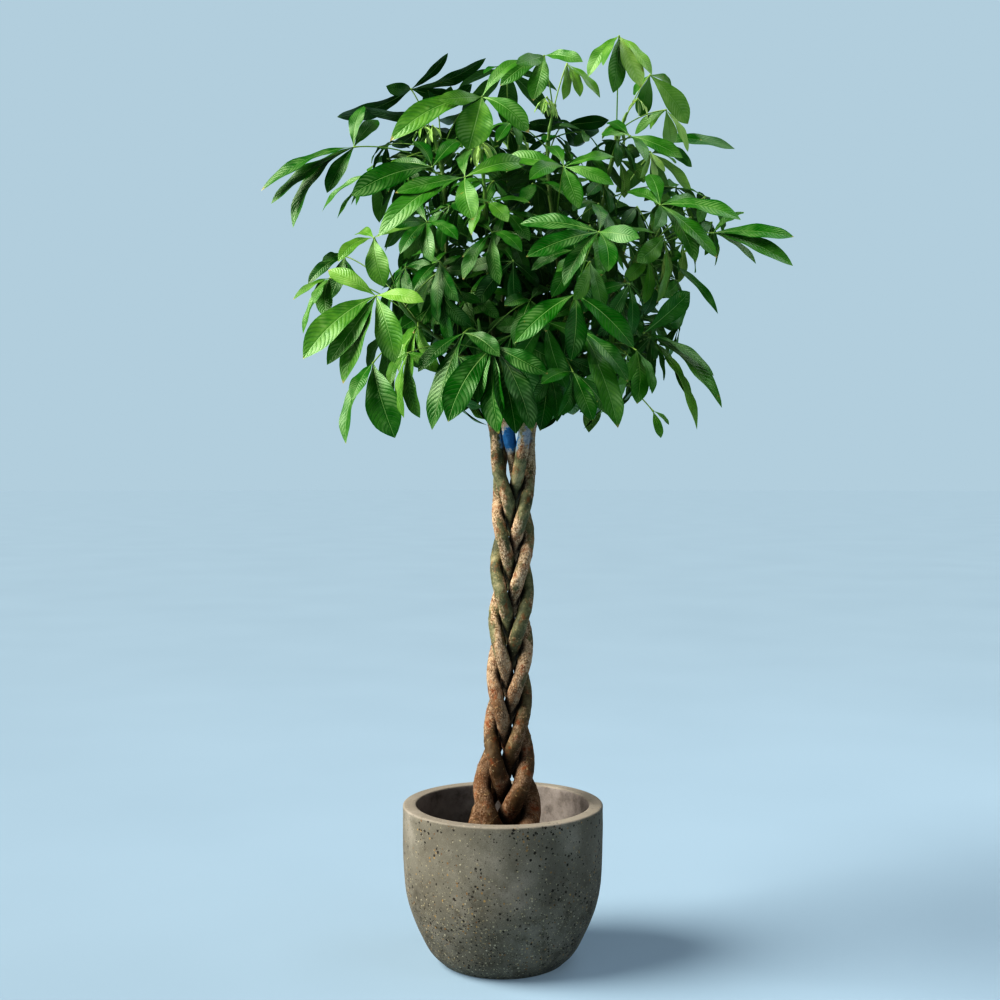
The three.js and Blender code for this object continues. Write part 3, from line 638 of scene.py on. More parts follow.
class Value:
    """A node's output in a tree under construction. Sums and products with it add their own nodes."""

    def __init__(self, tree, socket):
        self.tree, self.socket = tree, socket

    def outs(self):
        return [Value(self.tree, socket) for socket in self.socket.node.outputs]

    def geo(self, kind, **named):
        """The geometry after another step."""
        return self.tree.geo(kind, Geometry=self, **named)

    def calc(self, operation, *others):
        kind = "VectorMath" if self.socket.type in ("VECTOR", "RGBA") else "Math"
        return self.tree.add("ShaderNode" + kind, self, *others, operation=operation)

    def __add__(self, other):
        return self.calc("ADD", other)

    def __sub__(self, other):
        return self.calc("SUBTRACT", other)

    def __rsub__(self, other):
        return self.tree.add("ShaderNodeMath", other, self, operation="SUBTRACT")

    def __mul__(self, other):
        """A product. A vector is multiplied by a tuple part by part, and by anything else as a whole."""
        if self.socket.type in ("VECTOR", "RGBA") and not isinstance(other, tuple):
            return self.tree.add("ShaderNodeVectorMath", self, Scale=other, operation="SCALE")
        return self.calc("MULTIPLY", other)

    __rmul__ = __mul__

    def __truediv__(self, other):
        return self.calc("DIVIDE", other)

    def __abs__(self):
        return self.calc("ABSOLUTE")

    def length(self):
        return self.tree.add("ShaderNodeVectorMath", self, operation="LENGTH", out=1)

    def split(self):
        return self.tree.add("ShaderNodeSeparateXYZ", self).outs()

    def between(self, low, high, to_low=0.0, to_high=1.0, smooth=True):
        """The value mapped from one range to another, held at its ends."""
        return self.tree.add("ShaderNodeMapRange", self, low, high, to_low, to_high,
                             interpolation_type="SMOOTHSTEP" if smooth else "LINEAR")

    def noise(self, scale, detail=3.0, rough=0.55):
        return self.tree.add("ShaderNodeTexNoise", Vector=self, Scale=scale, Detail=detail, Roughness=rough)

    def ragged(self, scale, reach):
        """A small shift one way or another, at random from place to place."""
        shift = self.tree.add("ShaderNodeTexNoise", Vector=self, Scale=scale, Detail=1.0, out=1)
        return (shift - (0.5, 0.5, 0.5)) * reach

    def ramp(self, *stops):
        """A colour ramp: place and colour of each stop."""
        made = self.tree.add("ShaderNodeValToRGB", self)
        elements = made.socket.node.color_ramp.elements
        for place, _ in stops[2:]:
            elements.new(place)
        for element, (place, code) in zip(elements, stops):
            element.position, element.color = place, colour(code)
        return made

    def under(self, cover, share):
        """A colour with another laid over it, as thickly as a mask says."""
        cover = colour(cover) if isinstance(cover, str) else cover
        return self.tree.add("ShaderNodeMix", share, *[None] * 5, self, cover, data_type="RGBA", out=2)

    def bump(self, strength, distance):
        return self.tree.add("ShaderNodeBump", Height=self, Strength=strength, Distance=distance)


class Tree:
    """A node tree under construction."""

    def __init__(self, tree):
        self.tree = tree

    def add(self, kind, *ins, out=0, **named):
        """A node. Names with a capital are inputs, others are settings, and None leaves an input alone."""
        node = self.tree.nodes.new(kind)
        keyed = {i: value for i, value in enumerate(ins) if value is not None}
        for name, value in named.items():
            if name[0].isupper():
                keyed[name.replace("_", " ")] = value
            else:
                setattr(node, name, value)
        for key, value in keyed.items():
            for one in value if isinstance(value, list) else [value]:
                if isinstance(one, Value):
                    self.tree.links.new(one.socket, node.inputs[key])
                else:
                    node.inputs[key].default_value = one
        return Value(self, node.outputs[out]) if node.outputs else None

    def geo(self, kind, *ins, **named):
        return self.add("GeometryNode" + kind, *ins, **named)

    def joined(self, x=0.0, y=0.0, z=0.0):
        return self.add("ShaderNodeCombineXYZ", x, y, z)

    def attribute(self, name, out="Fac"):
        """A named attribute, in a material."""
        return self.add("ShaderNodeAttribute", attribute_name=name, out=out)

    def read(self, name, kind="FLOAT"):
        """A named attribute, in a geometry tree."""
        return self.geo("InputNamedAttribute", Name=name, data_type=kind)

    def store(self, geometry, name, value, kind="FLOAT_VECTOR", domain="POINT"):
        return self.geo("StoreNamedAttribute", Geometry=geometry, Name=name, Value=value, data_type=kind,
                        domain=domain)

    def done(self, *geometry):
        """Gives the group its result: one geometry, or several as one."""
        joined = self.geo("JoinGeometry", Geometry=list(geometry)) if len(geometry) > 1 else geometry[0]
        self.add("NodeGroupOutput", Mesh=joined.geo("RealizeInstances"))
        return self.tree

    def swept(self, lines, sides):
        """A round stalk along every line of edges, as thick as its points say."""
        return self.geo("CurveToMesh", Curve=self.geo("MeshToCurve", Mesh=lines), Fill_Caps=True,
                        Profile_Curve=self.geo("CurvePrimitiveCircle", Resolution=sides, Radius=1.0),
                        Scale=self.read("thickness"))


def new_group(name, kind, ins, outs=(("Mesh", "Geometry"),)):
    """An empty node group with its own inputs and outputs: its tree and the values that come in."""
    tree = Tree(bpy.data.node_groups.new(name, kind + "NodeTree"))
    for way, items in (("INPUT", ins), ("OUTPUT", outs)):
        for item, item_kind, *default in items:
            socket = tree.tree.interface.new_socket(item, in_out=way, socket_type="NodeSocket" + item_kind)
            if default:
                socket.default_value = default[0]
    return tree, {value.socket.name: value for value in tree.add("NodeGroupInput").outs()}


def swept_stalks():
    """Node group: uneven round stalks."""
    tree, entry = new_group("Swept stalks", "Geometry", [("Lines", "Geometry"), ("Sides", "Int", 8)])
    grain = tree.geo("InputPosition").noise(240.0, 2.0) - 0.5
    offset = tree.geo("InputNormal") * (grain * tree.read("thickness") * 0.35)
    return tree.done(tree.swept(entry["Lines"], entry["Sides"]).geo("SetPosition", Offset=offset))


BLADE_INPUTS = [("Steps Along", "Int", 18), ("Steps Across", "Int", 7), ("Thickness", "Float", 0.0009)]


def leaflet_blades():
    """Node group: a thin blade on every leaflet point, from its hub to its tip.

    It is made flat, as two grids that share their rim, and then laid along its rib.
    """
    tree, entry = new_group("Leaflet blades", "Geometry", [("Points", "Geometry"), *BLADE_INPUTS])
    layers = []
    for side in (1.0, -1.0):
        grid = tree.geo("MeshGrid", Size_X=1.0, Size_Y=2.0, Vertices_X=entry["Steps Along"],
                        Vertices_Y=entry["Steps Across"])
        x, y, _ = tree.geo("InputPosition").split()
        s = x + 0.5
        swell = s * (1.0 - s) * (1.0 - y * y) * side
        grid = grid.geo("SetPosition", Position=tree.joined(s, y, swell))
        if side < 0:
            grid = tree.geo("FlipFaces", Mesh=grid)
        layers.append(tree.store(grid, "underside", side < 0, "BOOLEAN", "FACE"))
    flat = tree.geo("MergeByDistance", Geometry=tree.geo("JoinGeometry", Geometry=layers), Distance=0.00001)
    flat = tree.store(flat, "place", tree.geo("InputPosition"))

    laid = tree.geo("InstanceOnPoints", Points=entry["Points"], Instance=flat).geo("RealizeInstances")
    s, t, swell = tree.read("place", "FLOAT_VECTOR").split()
    hub, tip, facing = (tree.read(name, "FLOAT_VECTOR") for name in ("hub", "tip", "facing"))
    half_width, fold, wave, arch, bend, phase = (
        tree.read(name) for name in ("half_width", "fold", "wave", "arch", "bend", "phase"))
    wide = tree.add("ShaderNodeFloatCurve", Value=s)
    outline = wide.socket.node.mapping
    points = outline.curves[0].points
    for share, width in BLADE_OUTLINE[1:-1]:
        points.new(share, width)
    for point, place in zip(points, BLADE_OUTLINE):
        point.location = place
    outline.update()
    reach = tip.length()
    hump = 4.0 * s * (1.0 - s)
    away = abs(t)
    raised = away.calc("POWER", 1.3) * fold * half_width * wide
    turn = s * 15.0 + phase * 6.28 + t * 1.4
    waved = turn.calc("SINE") * away * away * wave * reach * hump
    lift = hump * arch * reach + raised + waved + swell * 4.0 * entry["Thickness"] * 0.5
    across = t * wide * half_width + bend * reach * hump
    side = facing.calc("CROSS_PRODUCT", tip).calc("NORMALIZE")
    place = hub + tip * s + side * across + facing.calc("NORMALIZE") * lift
    laid = tree.store(laid.geo("SetPosition", Position=place), "place", tree.joined(s, t, t * wide))
    laid = laid.geo("MergeByDistance", Distance=0.00002).geo("SetShadeSmooth", Shade_Smooth=True)
    rim = tree.geo("InputMeshEdgeAngle").calc("GREATER_THAN", BLADE_RIM_ANGLE)
    return tree.done(laid.geo("SetShadeSmooth", Selection=rim, Shade_Smooth=False, domain="EDGE"))


def leafy_shoot_tree():
    """The whole shoot: its branch and stalks from the lines, its blades on the leaflet points."""
    tree, entry = new_group("Leafy shoot", "Geometry", [
        ("Skeleton", "Geometry"), ("Stalk Sides", "Int", 8), *BLADE_INPUTS, ("Stalk", "Material"),
        ("Upper Side", "Material"), ("Underside", "Material")])
    stalks = tree.geo("Group", node_tree=swept_stalks(), Lines=entry["Skeleton"], Sides=entry["Stalk Sides"])
    stalks = stalks.geo("SetMaterial", Material=entry["Stalk"])
    points = entry["Skeleton"].geo("SeparateGeometry", Selection=tree.read("is_leaflet", "BOOLEAN"),
                                   domain="POINT")
    blades = tree.geo("Group", node_tree=leaflet_blades(), Points=points, Steps_Along=entry["Steps Along"],
                      Steps_Across=entry["Steps Across"], Thickness=entry["Thickness"])
    below = tree.read("underside", "BOOLEAN")
    blades = blades.geo("SetMaterial", Material=entry["Upper Side"])
    blades = blades.geo("SetMaterial", Material=entry["Underside"], Selection=below)
    return tree.done(stalks, blades)


def bark_stem_tree():
    """A woody stem swept along its line: lumpy, furrowed along its length, with raised scars."""
    tree, entry = new_group("Bark stem", "Geometry", [
        ("Line", "Geometry"), ("Sides", "Int", 32), ("Lumps", "Float", 0.0012), ("Furrows", "Float", 0.0007),
        ("Scars", "Float", 0.0008), ("Bark", "Material")])
    out = (tree.geo("InputPosition") - tree.read("middle", "FLOAT_VECTOR")).calc("NORMALIZE")
    x, y, _ = out.split()
    skin = (tree.joined(x * 0.012, y * 0.012, tree.read("along"))
            + tree.joined(tree.read("number"), 0.0, 0.0) * 0.37)
    lumps = skin.noise(34.0, 2.0) - 0.5
    furrows = (skin * (1.0, 1.0, 0.28)).noise(260.0) - 0.5
    scars = tree.add("ShaderNodeTexVoronoi", Vector=skin * (0.55, 0.55, 1.0), Scale=95.0, Randomness=1.0)
    offset = (lumps * 2.0 * entry["Lumps"] + furrows * 2.0 * entry["Furrows"]
              + scars.between(0.12, 0.36, 1.0, 0.0) * entry["Scars"])
    stem = tree.swept(entry["Line"], entry["Sides"]).geo("SetPosition", Offset=out * offset)
    stem = tree.store(stem, "skin", skin).geo("SetShadeSmooth", Shade_Smooth=True)
    return tree.done(stem.geo("SetMaterial", Material=entry["Bark"]))


def soil_tree():
    """Loose crumbs over the soil's top, half sunk in it."""
    tree, entry = new_group("Crumbly soil", "Geometry", [
        ("Bed", "Geometry"), ("Smallest", "Float", 0.0015), ("Largest", "Float", 0.0065),
        ("Crowding", "Float", 26000.0), ("Soil", "Material")])
    high = tree.geo("InputPosition").split()[2].calc("GREATER_THAN", (SOIL_EDGE_HEIGHT - 1) * MM)
    spots = tree.geo("DistributePointsOnFaces", Mesh=entry["Bed"], Selection=high, Density=entry["Crowding"],
                     Seed=3)
    size = tree.add("FunctionNodeRandomValue", None, None, 0.0, 1.0, Seed=5, data_type="FLOAT", out=1)
    size = entry["Smallest"] + size.calc("POWER", 3.0) * (entry["Largest"] - entry["Smallest"])
    turn = tree.add("FunctionNodeRandomValue", (0.0, 0.0, 0.0), (6.28, 6.28, 6.28), Seed=7,
                    data_type="FLOAT_VECTOR")
    crumbs = tree.geo("InstanceOnPoints", Points=spots, Rotation=turn, Scale=size,
                      Instance=tree.geo("MeshIcoSphere", Radius=1.0, Subdivisions=2))
    jagged = tree.geo("InputPosition").ragged(420.0, 0.0035)
    crumbs = crumbs.geo("RealizeInstances").geo("SetPosition", Offset=jagged)
    return tree.done(*(part.geo("SetMaterial", Material=entry["Soil"]) for part in (crumbs, entry["Bed"])))


# Finishes


def finish(name):
    """A new material: itself, its tree and its object coordinates."""
    made = bpy.data.materials.new(name)
    made.use_nodes = True
    made.node_tree.nodes.clear()
    tree = Tree(made.node_tree)
    return made, tree, tree.add("ShaderNodeTexCoord", out="Object")


def dressed(made, tree, **ins):
    """The material with its surface shader."""
    tree.add("ShaderNodeOutputMaterial", Surface=tree.add("ShaderNodeBsdfPrincipled", **ins))
    return made


def vein_group():
    """Node group: the ribs of a leaflet, and how it swells between them."""
    tree, entry = new_group("Leaflet veins", "Shader", [("Place", "Vector"), ("Pairs", "Float", 17.0)],
                            [("Rib", "Float"), ("Veins", "Float"), ("Quilt", "Float")])
    s, t, across = entry["Place"].split()
    away = abs(t)
    step = s - (away * 0.10 + away * away * away * 0.06) + t.calc("SIGN") * 0.012
    f = abs((step * entry["Pairs"]).calc("FRACT") - 0.5)
    veins = f.between(0.0, 0.16, 1.0, 0.0) * away.between(0.72, 0.98, 1.0, 0.0)
    near = abs(across) / s.between(0.0, 1.0, 0.058, 0.016, smooth=False)
    low = 1.0 - f * 2.0
    quilt = (1.0 - low * low) * away.between(0.0, 0.16) * away.between(0.8, 1.0, 1.0, 0.3)
    tree.add("NodeGroupOutput", Rib=near.between(0.35, 1.0, 1.0, 0.0), Veins=veins, Quilt=quilt)
    return tree.tree


def leaf_finish(name, vein_tree, tones, rib_shade, ribs, veins, painted_sheen, relief, rough, gloss, coat):
    """One side of the leaves: how strong its ribs, side veins and painted sheen bands are, and how it shines.
    """
    made, tree, place = finish(name)
    phase, spot = tree.attribute("phase"), tree.attribute("place", "Vector")
    rib, vein, quilt = tree.add("ShaderNodeGroup", node_tree=vein_tree, Place=spot, Pairs=17.0).outs()
    cloudy = place.noise(38.0, 3.0, 0.6)
    skin = (tree.attribute("tone") + (cloudy - 0.5) * 0.5 + (quilt - 0.6) * 0.1).ramp(*tones)
    shifted = place + tree.joined(phase)
    # Painted sheen: pale grey-green bands over the swellings between side veins, in patches, stand for
    # highlights on the quilted blade
    pale = (quilt + cloudy * 0.8).between(0.75, 1.35) * shifted.noise(24.0, 2.0).between(0.46, 0.64)
    skin = skin.under("9ab67c", pale * painted_sheen)
    skin = skin.under(rib_shade, vein * veins)
    skin = skin.under(rib_shade, rib * ribs)
    skin = skin.under("8f8a3c", shifted.noise(85.0, 2.0, 0.5).between(0.735, 0.79) * 0.7)
    worn = spot.split()[0] + phase * 0.09 + cloudy * 0.08
    skin = skin.under("a8935a", worn.between(1.07, 1.11) * 0.85)
    height = quilt * 0.8 + rib * -0.9 + place.noise(900.0, 2.0) * 0.04
    return dressed(made, tree, Base_Color=skin, Normal=height.bump(relief, 0.0016), Specular_IOR_Level=gloss,
                   Coat_Weight=coat, Specular_Tint=colour("c0e2b0"), Coat_Roughness=0.3,
                   Roughness=cloudy.between(0.3, 0.7, rough - 0.06, rough + 0.08))


def stalk_finish():
    made, tree, place = finish("Green stalk")
    streaks = (place * (1.0, 1.0, 0.2)).noise(420.0, 2.0)
    shade = tree.attribute("tone") + (streaks - 0.5) * 0.5
    skin = shade.ramp((0.0, "4a3d26"), (0.25, "55602c"), (0.6, "5f8a34"), (1.0, "9cba5c"))
    return dressed(made, tree, Base_Color=skin, Normal=streaks.bump(0.4, 0.0006),
                   Roughness=streaks.between(0.3, 0.7, 0.4, 0.58))


def speck_group():
    """Node group: specks of one size scattered through a solid."""
    tree, entry = new_group("Specks", "Shader", [
        ("Place", "Vector"), ("Per Metre", "Float", 100.0), ("Size", "Float", 0.3), ("Share", "Float", 0.5)],
        [("Mask", "Float"), ("Shade", "Float")])
    place = entry["Place"]
    distance, cell = tree.add("ShaderNodeTexVoronoi", Vector=place + place.ragged(500.0, 0.0034),
                              Scale=entry["Per Metre"], Randomness=1.0).outs()[:2]
    red, green, blue = tree.add("ShaderNodeSeparateColor", cell).outs()
    size = entry["Size"] * green.between(0.0, 1.0, 0.45, 1.0, smooth=False)
    inside = (distance - size).between(-0.06, 0.02, 1.0, 0.0)
    tree.add("NodeGroupOutput", Mask=inside * red.calc("LESS_THAN", entry["Share"]), Shade=blue)
    return tree.tree


def speckled(speck_tree, place, per_metre, size, share):
    """Where specks of one kind are, and the shade of each."""
    return place.tree.add("ShaderNodeGroup", node_tree=speck_tree, Place=place, Per_Metre=per_metre,
                          Size=size, Share=share).outs()


def bark_finish(speck_tree):
    """Smooth grey-green skin and rough corky tan patches, browner and ringed towards the soil."""
    made, tree, place = finish("Bark")
    skin = tree.attribute("skin", "Vector")
    height, along = place.split()[2], skin.split()[2]
    low = height.between(*BARK_BROWN)
    drift = ((tree.attribute("number") * 0.618).calc("FRACT") - 0.5) * 0.16
    patches = ((skin * (1.6, 1.6, 1.0)).noise(13.0, 4.0, 0.62) + drift + low * 0.07
               + height.between(*BARK_CORKY) * 0.05)
    corky = patches.between(0.47, 0.55)
    fine = skin.noise(330.0, 3.0, 0.7)
    grain = fine - 0.5
    bark = (skin.noise(45.0) + grain * 0.5).ramp(
        (0.35, "50523b"), (0.5, "6b6d4f"), (0.62, "8c8866"), (0.75, "aa9f7e"))
    plates = tree.add("ShaderNodeTexVoronoi", Vector=skin * (1.0, 1.0, 0.6), Scale=330.0,
                      feature="DISTANCE_TO_EDGE")
    worn = (skin + (7.0, 0.0, 0.0)).noise(75.0, 3.0, 0.6)
    crack = (plates + grain * 0.9).between(0.0, 0.2, 1.0, 0.0) * worn.between(0.38, 0.56, 0.3, 1.0)
    cork = (patches + grain * 0.7).ramp((0.38, "8f6f4e"), (0.5, "b99b78"), (0.6, "dec8ac"), (0.72, "ad8a68"))
    bark = bark.under(cork.under("452d17", crack * 0.7), corky)
    rust = (skin + (0.0, 4.0, 0.0)).noise(60.0, 4.0, 0.7).between(0.53, 0.66)
    bark = bark.under("8a4820", rust * (low * 0.35 + 0.5))
    brown = low * rust.between(0.0, 1.0, 1.0, 0.45) * patches.between(0.4, 0.6, 0.85, 0.68)
    bark = bark.under("4e2c15", brown)
    rings = (along * 24.0 + skin.noise(18.0, 2.0) * 1.6).calc("FRACT")
    rings = rings.between(0.0, 0.07, 1.0, 0.0) * fine.between(0.4, 0.6)
    bark = bark.under("bfa57c", rings * 0.5)
    pale, shade = speckled(speck_tree, skin, 210.0, 0.3, 0.4)
    bark = bark.under(shade.ramp((0.0, "a8763f"), (0.5, "c4ac7c"), (1.0, "ded2ac")), pale * 0.45)
    relief = fine * 0.5 + pale * 0.35 + rings * 0.4 + crack * corky * -0.9 + corky * 0.8
    # Painted shade: the bark is darkened almost to black where it lies close to a neighbouring stem
    crevice = tree.attribute("crevice") * fine.between(0.3, 0.7, 1.0, 0.8)
    bark = bark.under("0e0804", crevice * 0.95)
    # A band of weathered blue paint on one stem under the crown, and a faint one on the next
    frayed = (skin.noise(190.0) - 0.5) * 1.1
    away = ((place - PAINT_MIDDLE) / PAINT_REACH).length() + frayed
    bark = bark.under("a9bccb", away.between(1.35, 1.0) * 0.6)
    bark = bark.under("2d74a8", away.between(1.0, 0.85) * 0.95)
    away = ((place - FAINT_MIDDLE) / FAINT_REACH).length() + frayed
    bark = bark.under("8fa9c4", away.between(1.1, 0.7) * 0.6)
    return dressed(made, tree, Base_Color=bark, Normal=relief.bump(0.8, 0.0012), Specular_IOR_Level=0.3,
                   Roughness=corky.between(0.0, 1.0, 0.62, 0.9))


def concrete_finish(speck_tree):
    """Grey-brown cast concrete: cloudy, gritty, with dark, rusty and cream specks, more of them below."""
    made, tree, place = finish("Speckled concrete")
    x, y, height = place.split()
    cloud, grit = place.noise(9.0, 4.0, 0.6), place.noise(700.0, 3.0, 0.7)
    skin = (cloud + (grit - 0.5) * 0.6).ramp((0.3, "676156"), (0.5, "7a7568"), (0.72, "999286"))
    low = height.between(*POT_CROWDED)
    inside = (tree.joined(x, y).length().between(*POT_INSIDE_RADII) * height.between(*POT_INSIDE_FROM)
              * height.between(*POT_INSIDE_UNTIL))
    crowd = (place + (9.0, 0.0, 0.0)).noise(15.0, 2.0)
    stain = (place + (2.0, 7.0, 0.0)).noise(32.0, 5.0, 0.7)
    skin = skin.under("463e2e", stain.between(0.45, 0.7) * (low * 0.5 + 0.2))
    skin = skin.under("4a4335", height.between(*POT_DARK) * 0.35)
    # Each kind of speck: where its pattern starts, how many to a metre, their size, how many of them
    # show, how strongly, and their shades. The last kind are pits.
    for start, per_metre, size, share, strength, shades in (
            ((0.7, 0.1, 3.0), 330.0, 0.36, low.between(0.0, 1.0, 0.25, 0.8), 0.55,
             ((0.0, "38322a"), (0.45, "6c6353"), (0.55, "b3a888"), (1.0, "c9bf9f"))),
            ((0.2, 2.0, 0.1), 170.0, 0.32, low * 0.75 + crowd * 0.12, 0.65,
             ((0.0, "8a7a58"), (0.4, "b0a280"), (1.0, "cfc7b0"))),
            ((0.0, 0.0, 0.0), 130.0, 0.28, crowd.between(0.4, 0.62, 0.15, 0.75), 0.75,
             ((0.0, "6d4522"), (0.5, "96703c"), (1.0, "b3935c"))),
            ((1.0, 0.3, 0.7), 135.0, 0.38, crowd.between(0.46, 0.59, 0.08, 0.95), 0.92,
             ((0.0, "14110e"), (1.0, "332a22"))),
            ((5.0, 0.3, 0.7), 190.0, 0.3, low.between(0.0, 1.0, 0.25, 0.75), 0.88,
             ((0.0, "17130f"), (1.0, "3a3128")))):
        specks, shade = speckled(speck_tree, place + start, per_metre, size, share)
        skin = skin.under(shade.ramp(*shades), specks * strength)
    wall = stain.ramp((0.35, "6f6966"), (0.5, "938c89"), (0.65, "a59e9b"))
    skin = skin.under(wall, inside * grit.between(0.3, 0.7, 0.95, 0.7))
    # The rim's top is coloured paler
    skin = skin.under("a39c93", (height + cloud * 0.006).between(*POT_RIM_PALER) * 0.5)
    relief = grit * 0.5 + cloud * 0.6 + specks * -1.2
    return dressed(made, tree, Base_Color=skin, Normal=relief.bump(0.5, 0.001), Specular_IOR_Level=0.35,
                   Roughness=grit.between(0.3, 0.7, 0.62, 0.82))


def soil_finish():
    made, tree, place = finish("Potting soil")
    crumbs = place.noise(160.0, 5.0, 0.7)
    skin = crumbs.ramp((0.3, "150f0a"), (0.5, "2a1e15"), (0.62, "3d2c1e"), (0.72, "5b442f"))
    return dressed(made, tree, Base_Color=skin, Normal=crumbs.bump(0.9, 0.003), Specular_IOR_Level=0.2,
                   Roughness=crumbs.between(0.3, 0.7, 0.98, 0.85))


def studio_finish():
    made, tree, place = finish("Studio floor")
    mottle = place.noise(1.3, 2.0)
    shade = mottle.ramp((0.3, FLOOR_SHADES[0]), (0.7, FLOOR_SHADES[1]))
    return dressed(made, tree, Base_Color=shade, Emission_Color=shade, Emission_Strength=FLOOR_GLOW,
                   Roughness=mottle.between(0.3, 0.7, 0.85, 0.95), Specular_IOR_Level=0.1)


# Pieces


def shown(name, data):
    """An object in the scene."""
    made = bpy.data.objects.new(name, data)
    bpy.context.scene.collection.objects.link(made)
    return made


def note(mesh, name, values, kind="FLOAT"):
    """Gives every point of a mesh its value of an attribute."""
    part = "vector" if kind == "FLOAT_VECTOR" else "value"
    mesh.attributes.new(name, kind, "POINT").data.foreach_set(part, values)


def lines_mesh(name, lines, blades=()):
    """Lines of points with their attributes, and single points for leaflets, as one mesh in metres."""
    places, edges, rows = [], [], []
    for line in lines:
        first = len(places)
        places += [tuple(c * MM for c in point) for point in line["points"]]
        edges += [(i, i + 1) for i in range(first, len(places) - 1)]
        rows += [dict(thickness=r * MM, tone=t) for r, t in zip(line["radii"], line["tones"])]
    for leaflet in blades:
        places.append(tuple(c * MM for c in leaflet["hub"]))
        rows.append(leaflet | dict(tip=leaflet["tip"] - leaflet["hub"], is_leaflet=True,
                                   half_width=leaflet["half_width"] * MM))
    mesh = bpy.data.meshes.new(name)
    mesh.from_pydata(places, edges, [])
    for key in ("thickness", "tone", "phase", "half_width", "arch", "fold", "wave", "bend"):
        note(mesh, key, [row.get(key, 0.0) for row in rows])
    note(mesh, "is_leaflet", ["is_leaflet" in row for row in rows], "BOOLEAN")
    for key, unit in (("hub", MM), ("tip", MM), ("facing", 1)):
        note(mesh, key, [c * unit for row in rows for c in row.get(key, (0, 0, 0))], "FLOAT_VECTOR")
    return mesh


def grown(name, mesh, tree, **inputs):
    """What a geometry tree makes of a mesh, as a plain mesh in its own object."""
    source = shown(name + "_source", mesh)
    modifier = source.modifiers.new("Growth", "NODES")
    modifier.node_group = tree
    sockets = {item.name: item.identifier for item in tree.interface.items_tree if item.in_out == "INPUT"}
    for key, value in inputs.items():
        modifier[sockets[key.replace("_", " ")]] = value
    ready = source.evaluated_get(bpy.context.evaluated_depsgraph_get())
    result = bpy.data.meshes.new_from_object(ready)
    result.name = name
    bpy.data.objects.remove(source)
    bpy.data.meshes.remove(mesh)
    return shown(name, result)


def drawn_in(mesh):
    """Draws a piece's outermost millimetres in where it would stand out of the solids' box."""
    places = np.empty(3 * len(mesh.vertices))
    mesh.vertices.foreach_get("co", places)
    for axis in range(3):
        for corner, way in zip(cad_box, (-1, 1)):
            reach = way * places[axis::3]
            excess = reach.max() - way * corner[axis]
            if excess > 0:
                near = 1 - (reach.max() - excess - reach) / (DRAWN_IN * MM)
                places[axis::3] -= way * excess * np.clip(near, 0, 1)
    mesh.vertices.foreach_set("co", places)
    mesh.update()


def shade_crevices(mesh, others):
    """Marks how close each point of a stem lies to its neighbours, where the bark gets painted shade."""
    neighbours = found_by_place(np.concatenate([line.evenly(int(line.length / 3)) for line in others]))
    shares = []
    for vertex in mesh.vertices:
        place = vertex.co / MM
        gap = neighbours.find(place)[2] / stem_radius(place.z)
        shares.append(eased(reached(gap, CREVICE_SHADE_REACH, CREVICE_SHADE_DEEP)))
    note(mesh, "crevice", shares)


def swelling(away, height, reach):
    """How much a swelling adds to a radius at some way from its middle."""
    return height * math.exp(-(away / reach) ** 2)


def stalk_line(points, tone):
    """A leaf's stalk, thicker at its foot and under its leaflets, closed at its end."""
    line = Line(points)
    count = max(int(line.length / 5), 8)
    shares = np.concatenate([np.linspace(0, 1, count), [1, 1]])
    points = line.spaced(shares)
    ahead = points[count - 1] - points[count - 2]
    ahead /= np.linalg.norm(ahead)
    points[count] += ahead * 0.5
    points[count + 1] += ahead * 0.8
    radii = []
    for share in shares[:count]:
        foot = swelling(share * line.length, *STALK_FOOT)
        radii.append(STALK_RADIUS * (0.72 + foot + swelling((1 - share) * line.length, *STALK_HEAD)))
    radii += [STALK_RADIUS, STALK_RADIUS * 0.3]
    tones = [min(0.35 + 0.45 * share + 0.25 * tone, 1) for share in shares]
    return dict(points=points, radii=radii, tones=tones)


def branch_line(shoot, feet):
    """A shoot's branch: a flared foot in its stem, a swelling at each stalk, a pointed tip."""
    line = shoot["line"]
    shares = np.linspace(0, 1, max(int(line.length / 3), 4) + 1)
    radii = []
    for share in shares:
        at = share * line.length
        radius = SHOOT_RADIUS + (SHOOT_TIP_RADIUS - SHOOT_RADIUS) * share + swelling(at, *SHOOT_FOOT)
        radius += sum(swelling(at - foot * line.length, *SHOOT_KNOT) for foot in feet)
        radii.append(radius * min(1, math.sqrt(max((1 - share) * line.length, 0) / 4 + 0.02)))
    tones = [0.05 + 0.5 * share + shoot["tone"] * 0.15 for share in shares]
    return dict(points=line.spaced(shares), radii=radii, tones=tones)


def formed(form, name):
    """A form's smooth mesh, facing outwards."""
    bmesh.ops.recalc_face_normals(form, faces=form.faces)
    mesh = bpy.data.meshes.new(name)
    form.to_mesh(mesh)
    form.free()
    mesh.shade_smooth()
    return mesh


def pot_profile():
    """The pot's section, from the middle of its base up its outside, over the rim and down inside."""
    outside = smooth_through([(r, 0, z) for r, z in POT_OUTSIDE], per_span=7)
    points = POT_BASE + [(p[0], p[2]) for p in outside if 1.5 < p[2] < POT_HEIGHT - POT_EDGE]
    inner = POT_RADIUS - POT_WALL
    for middle, angles in ((POT_RADIUS - POT_EDGE, (0, 30, 60, 90)), (inner + POT_EDGE, (90, 120, 150, 180))):
        for angle in angles:
            turn = math.radians(angle)
            height = POT_HEIGHT - POT_EDGE + POT_EDGE * math.sin(turn)
            points.append((middle + POT_EDGE * math.cos(turn), height))
        if angles[0] == 0:
            points += [(POT_RADIUS - POT_WALL * share, POT_HEIGHT) for share in (0.35, 0.5, 0.65)]
    points += [(inner, z) for z in POT_INSIDE_HEIGHTS]
    low, high = POT_INSIDE_BEND
    return points + [(p[0] - POT_WALL, p[2]) for p in reversed(outside) if low < p[2] < high] + POT_FLOOR


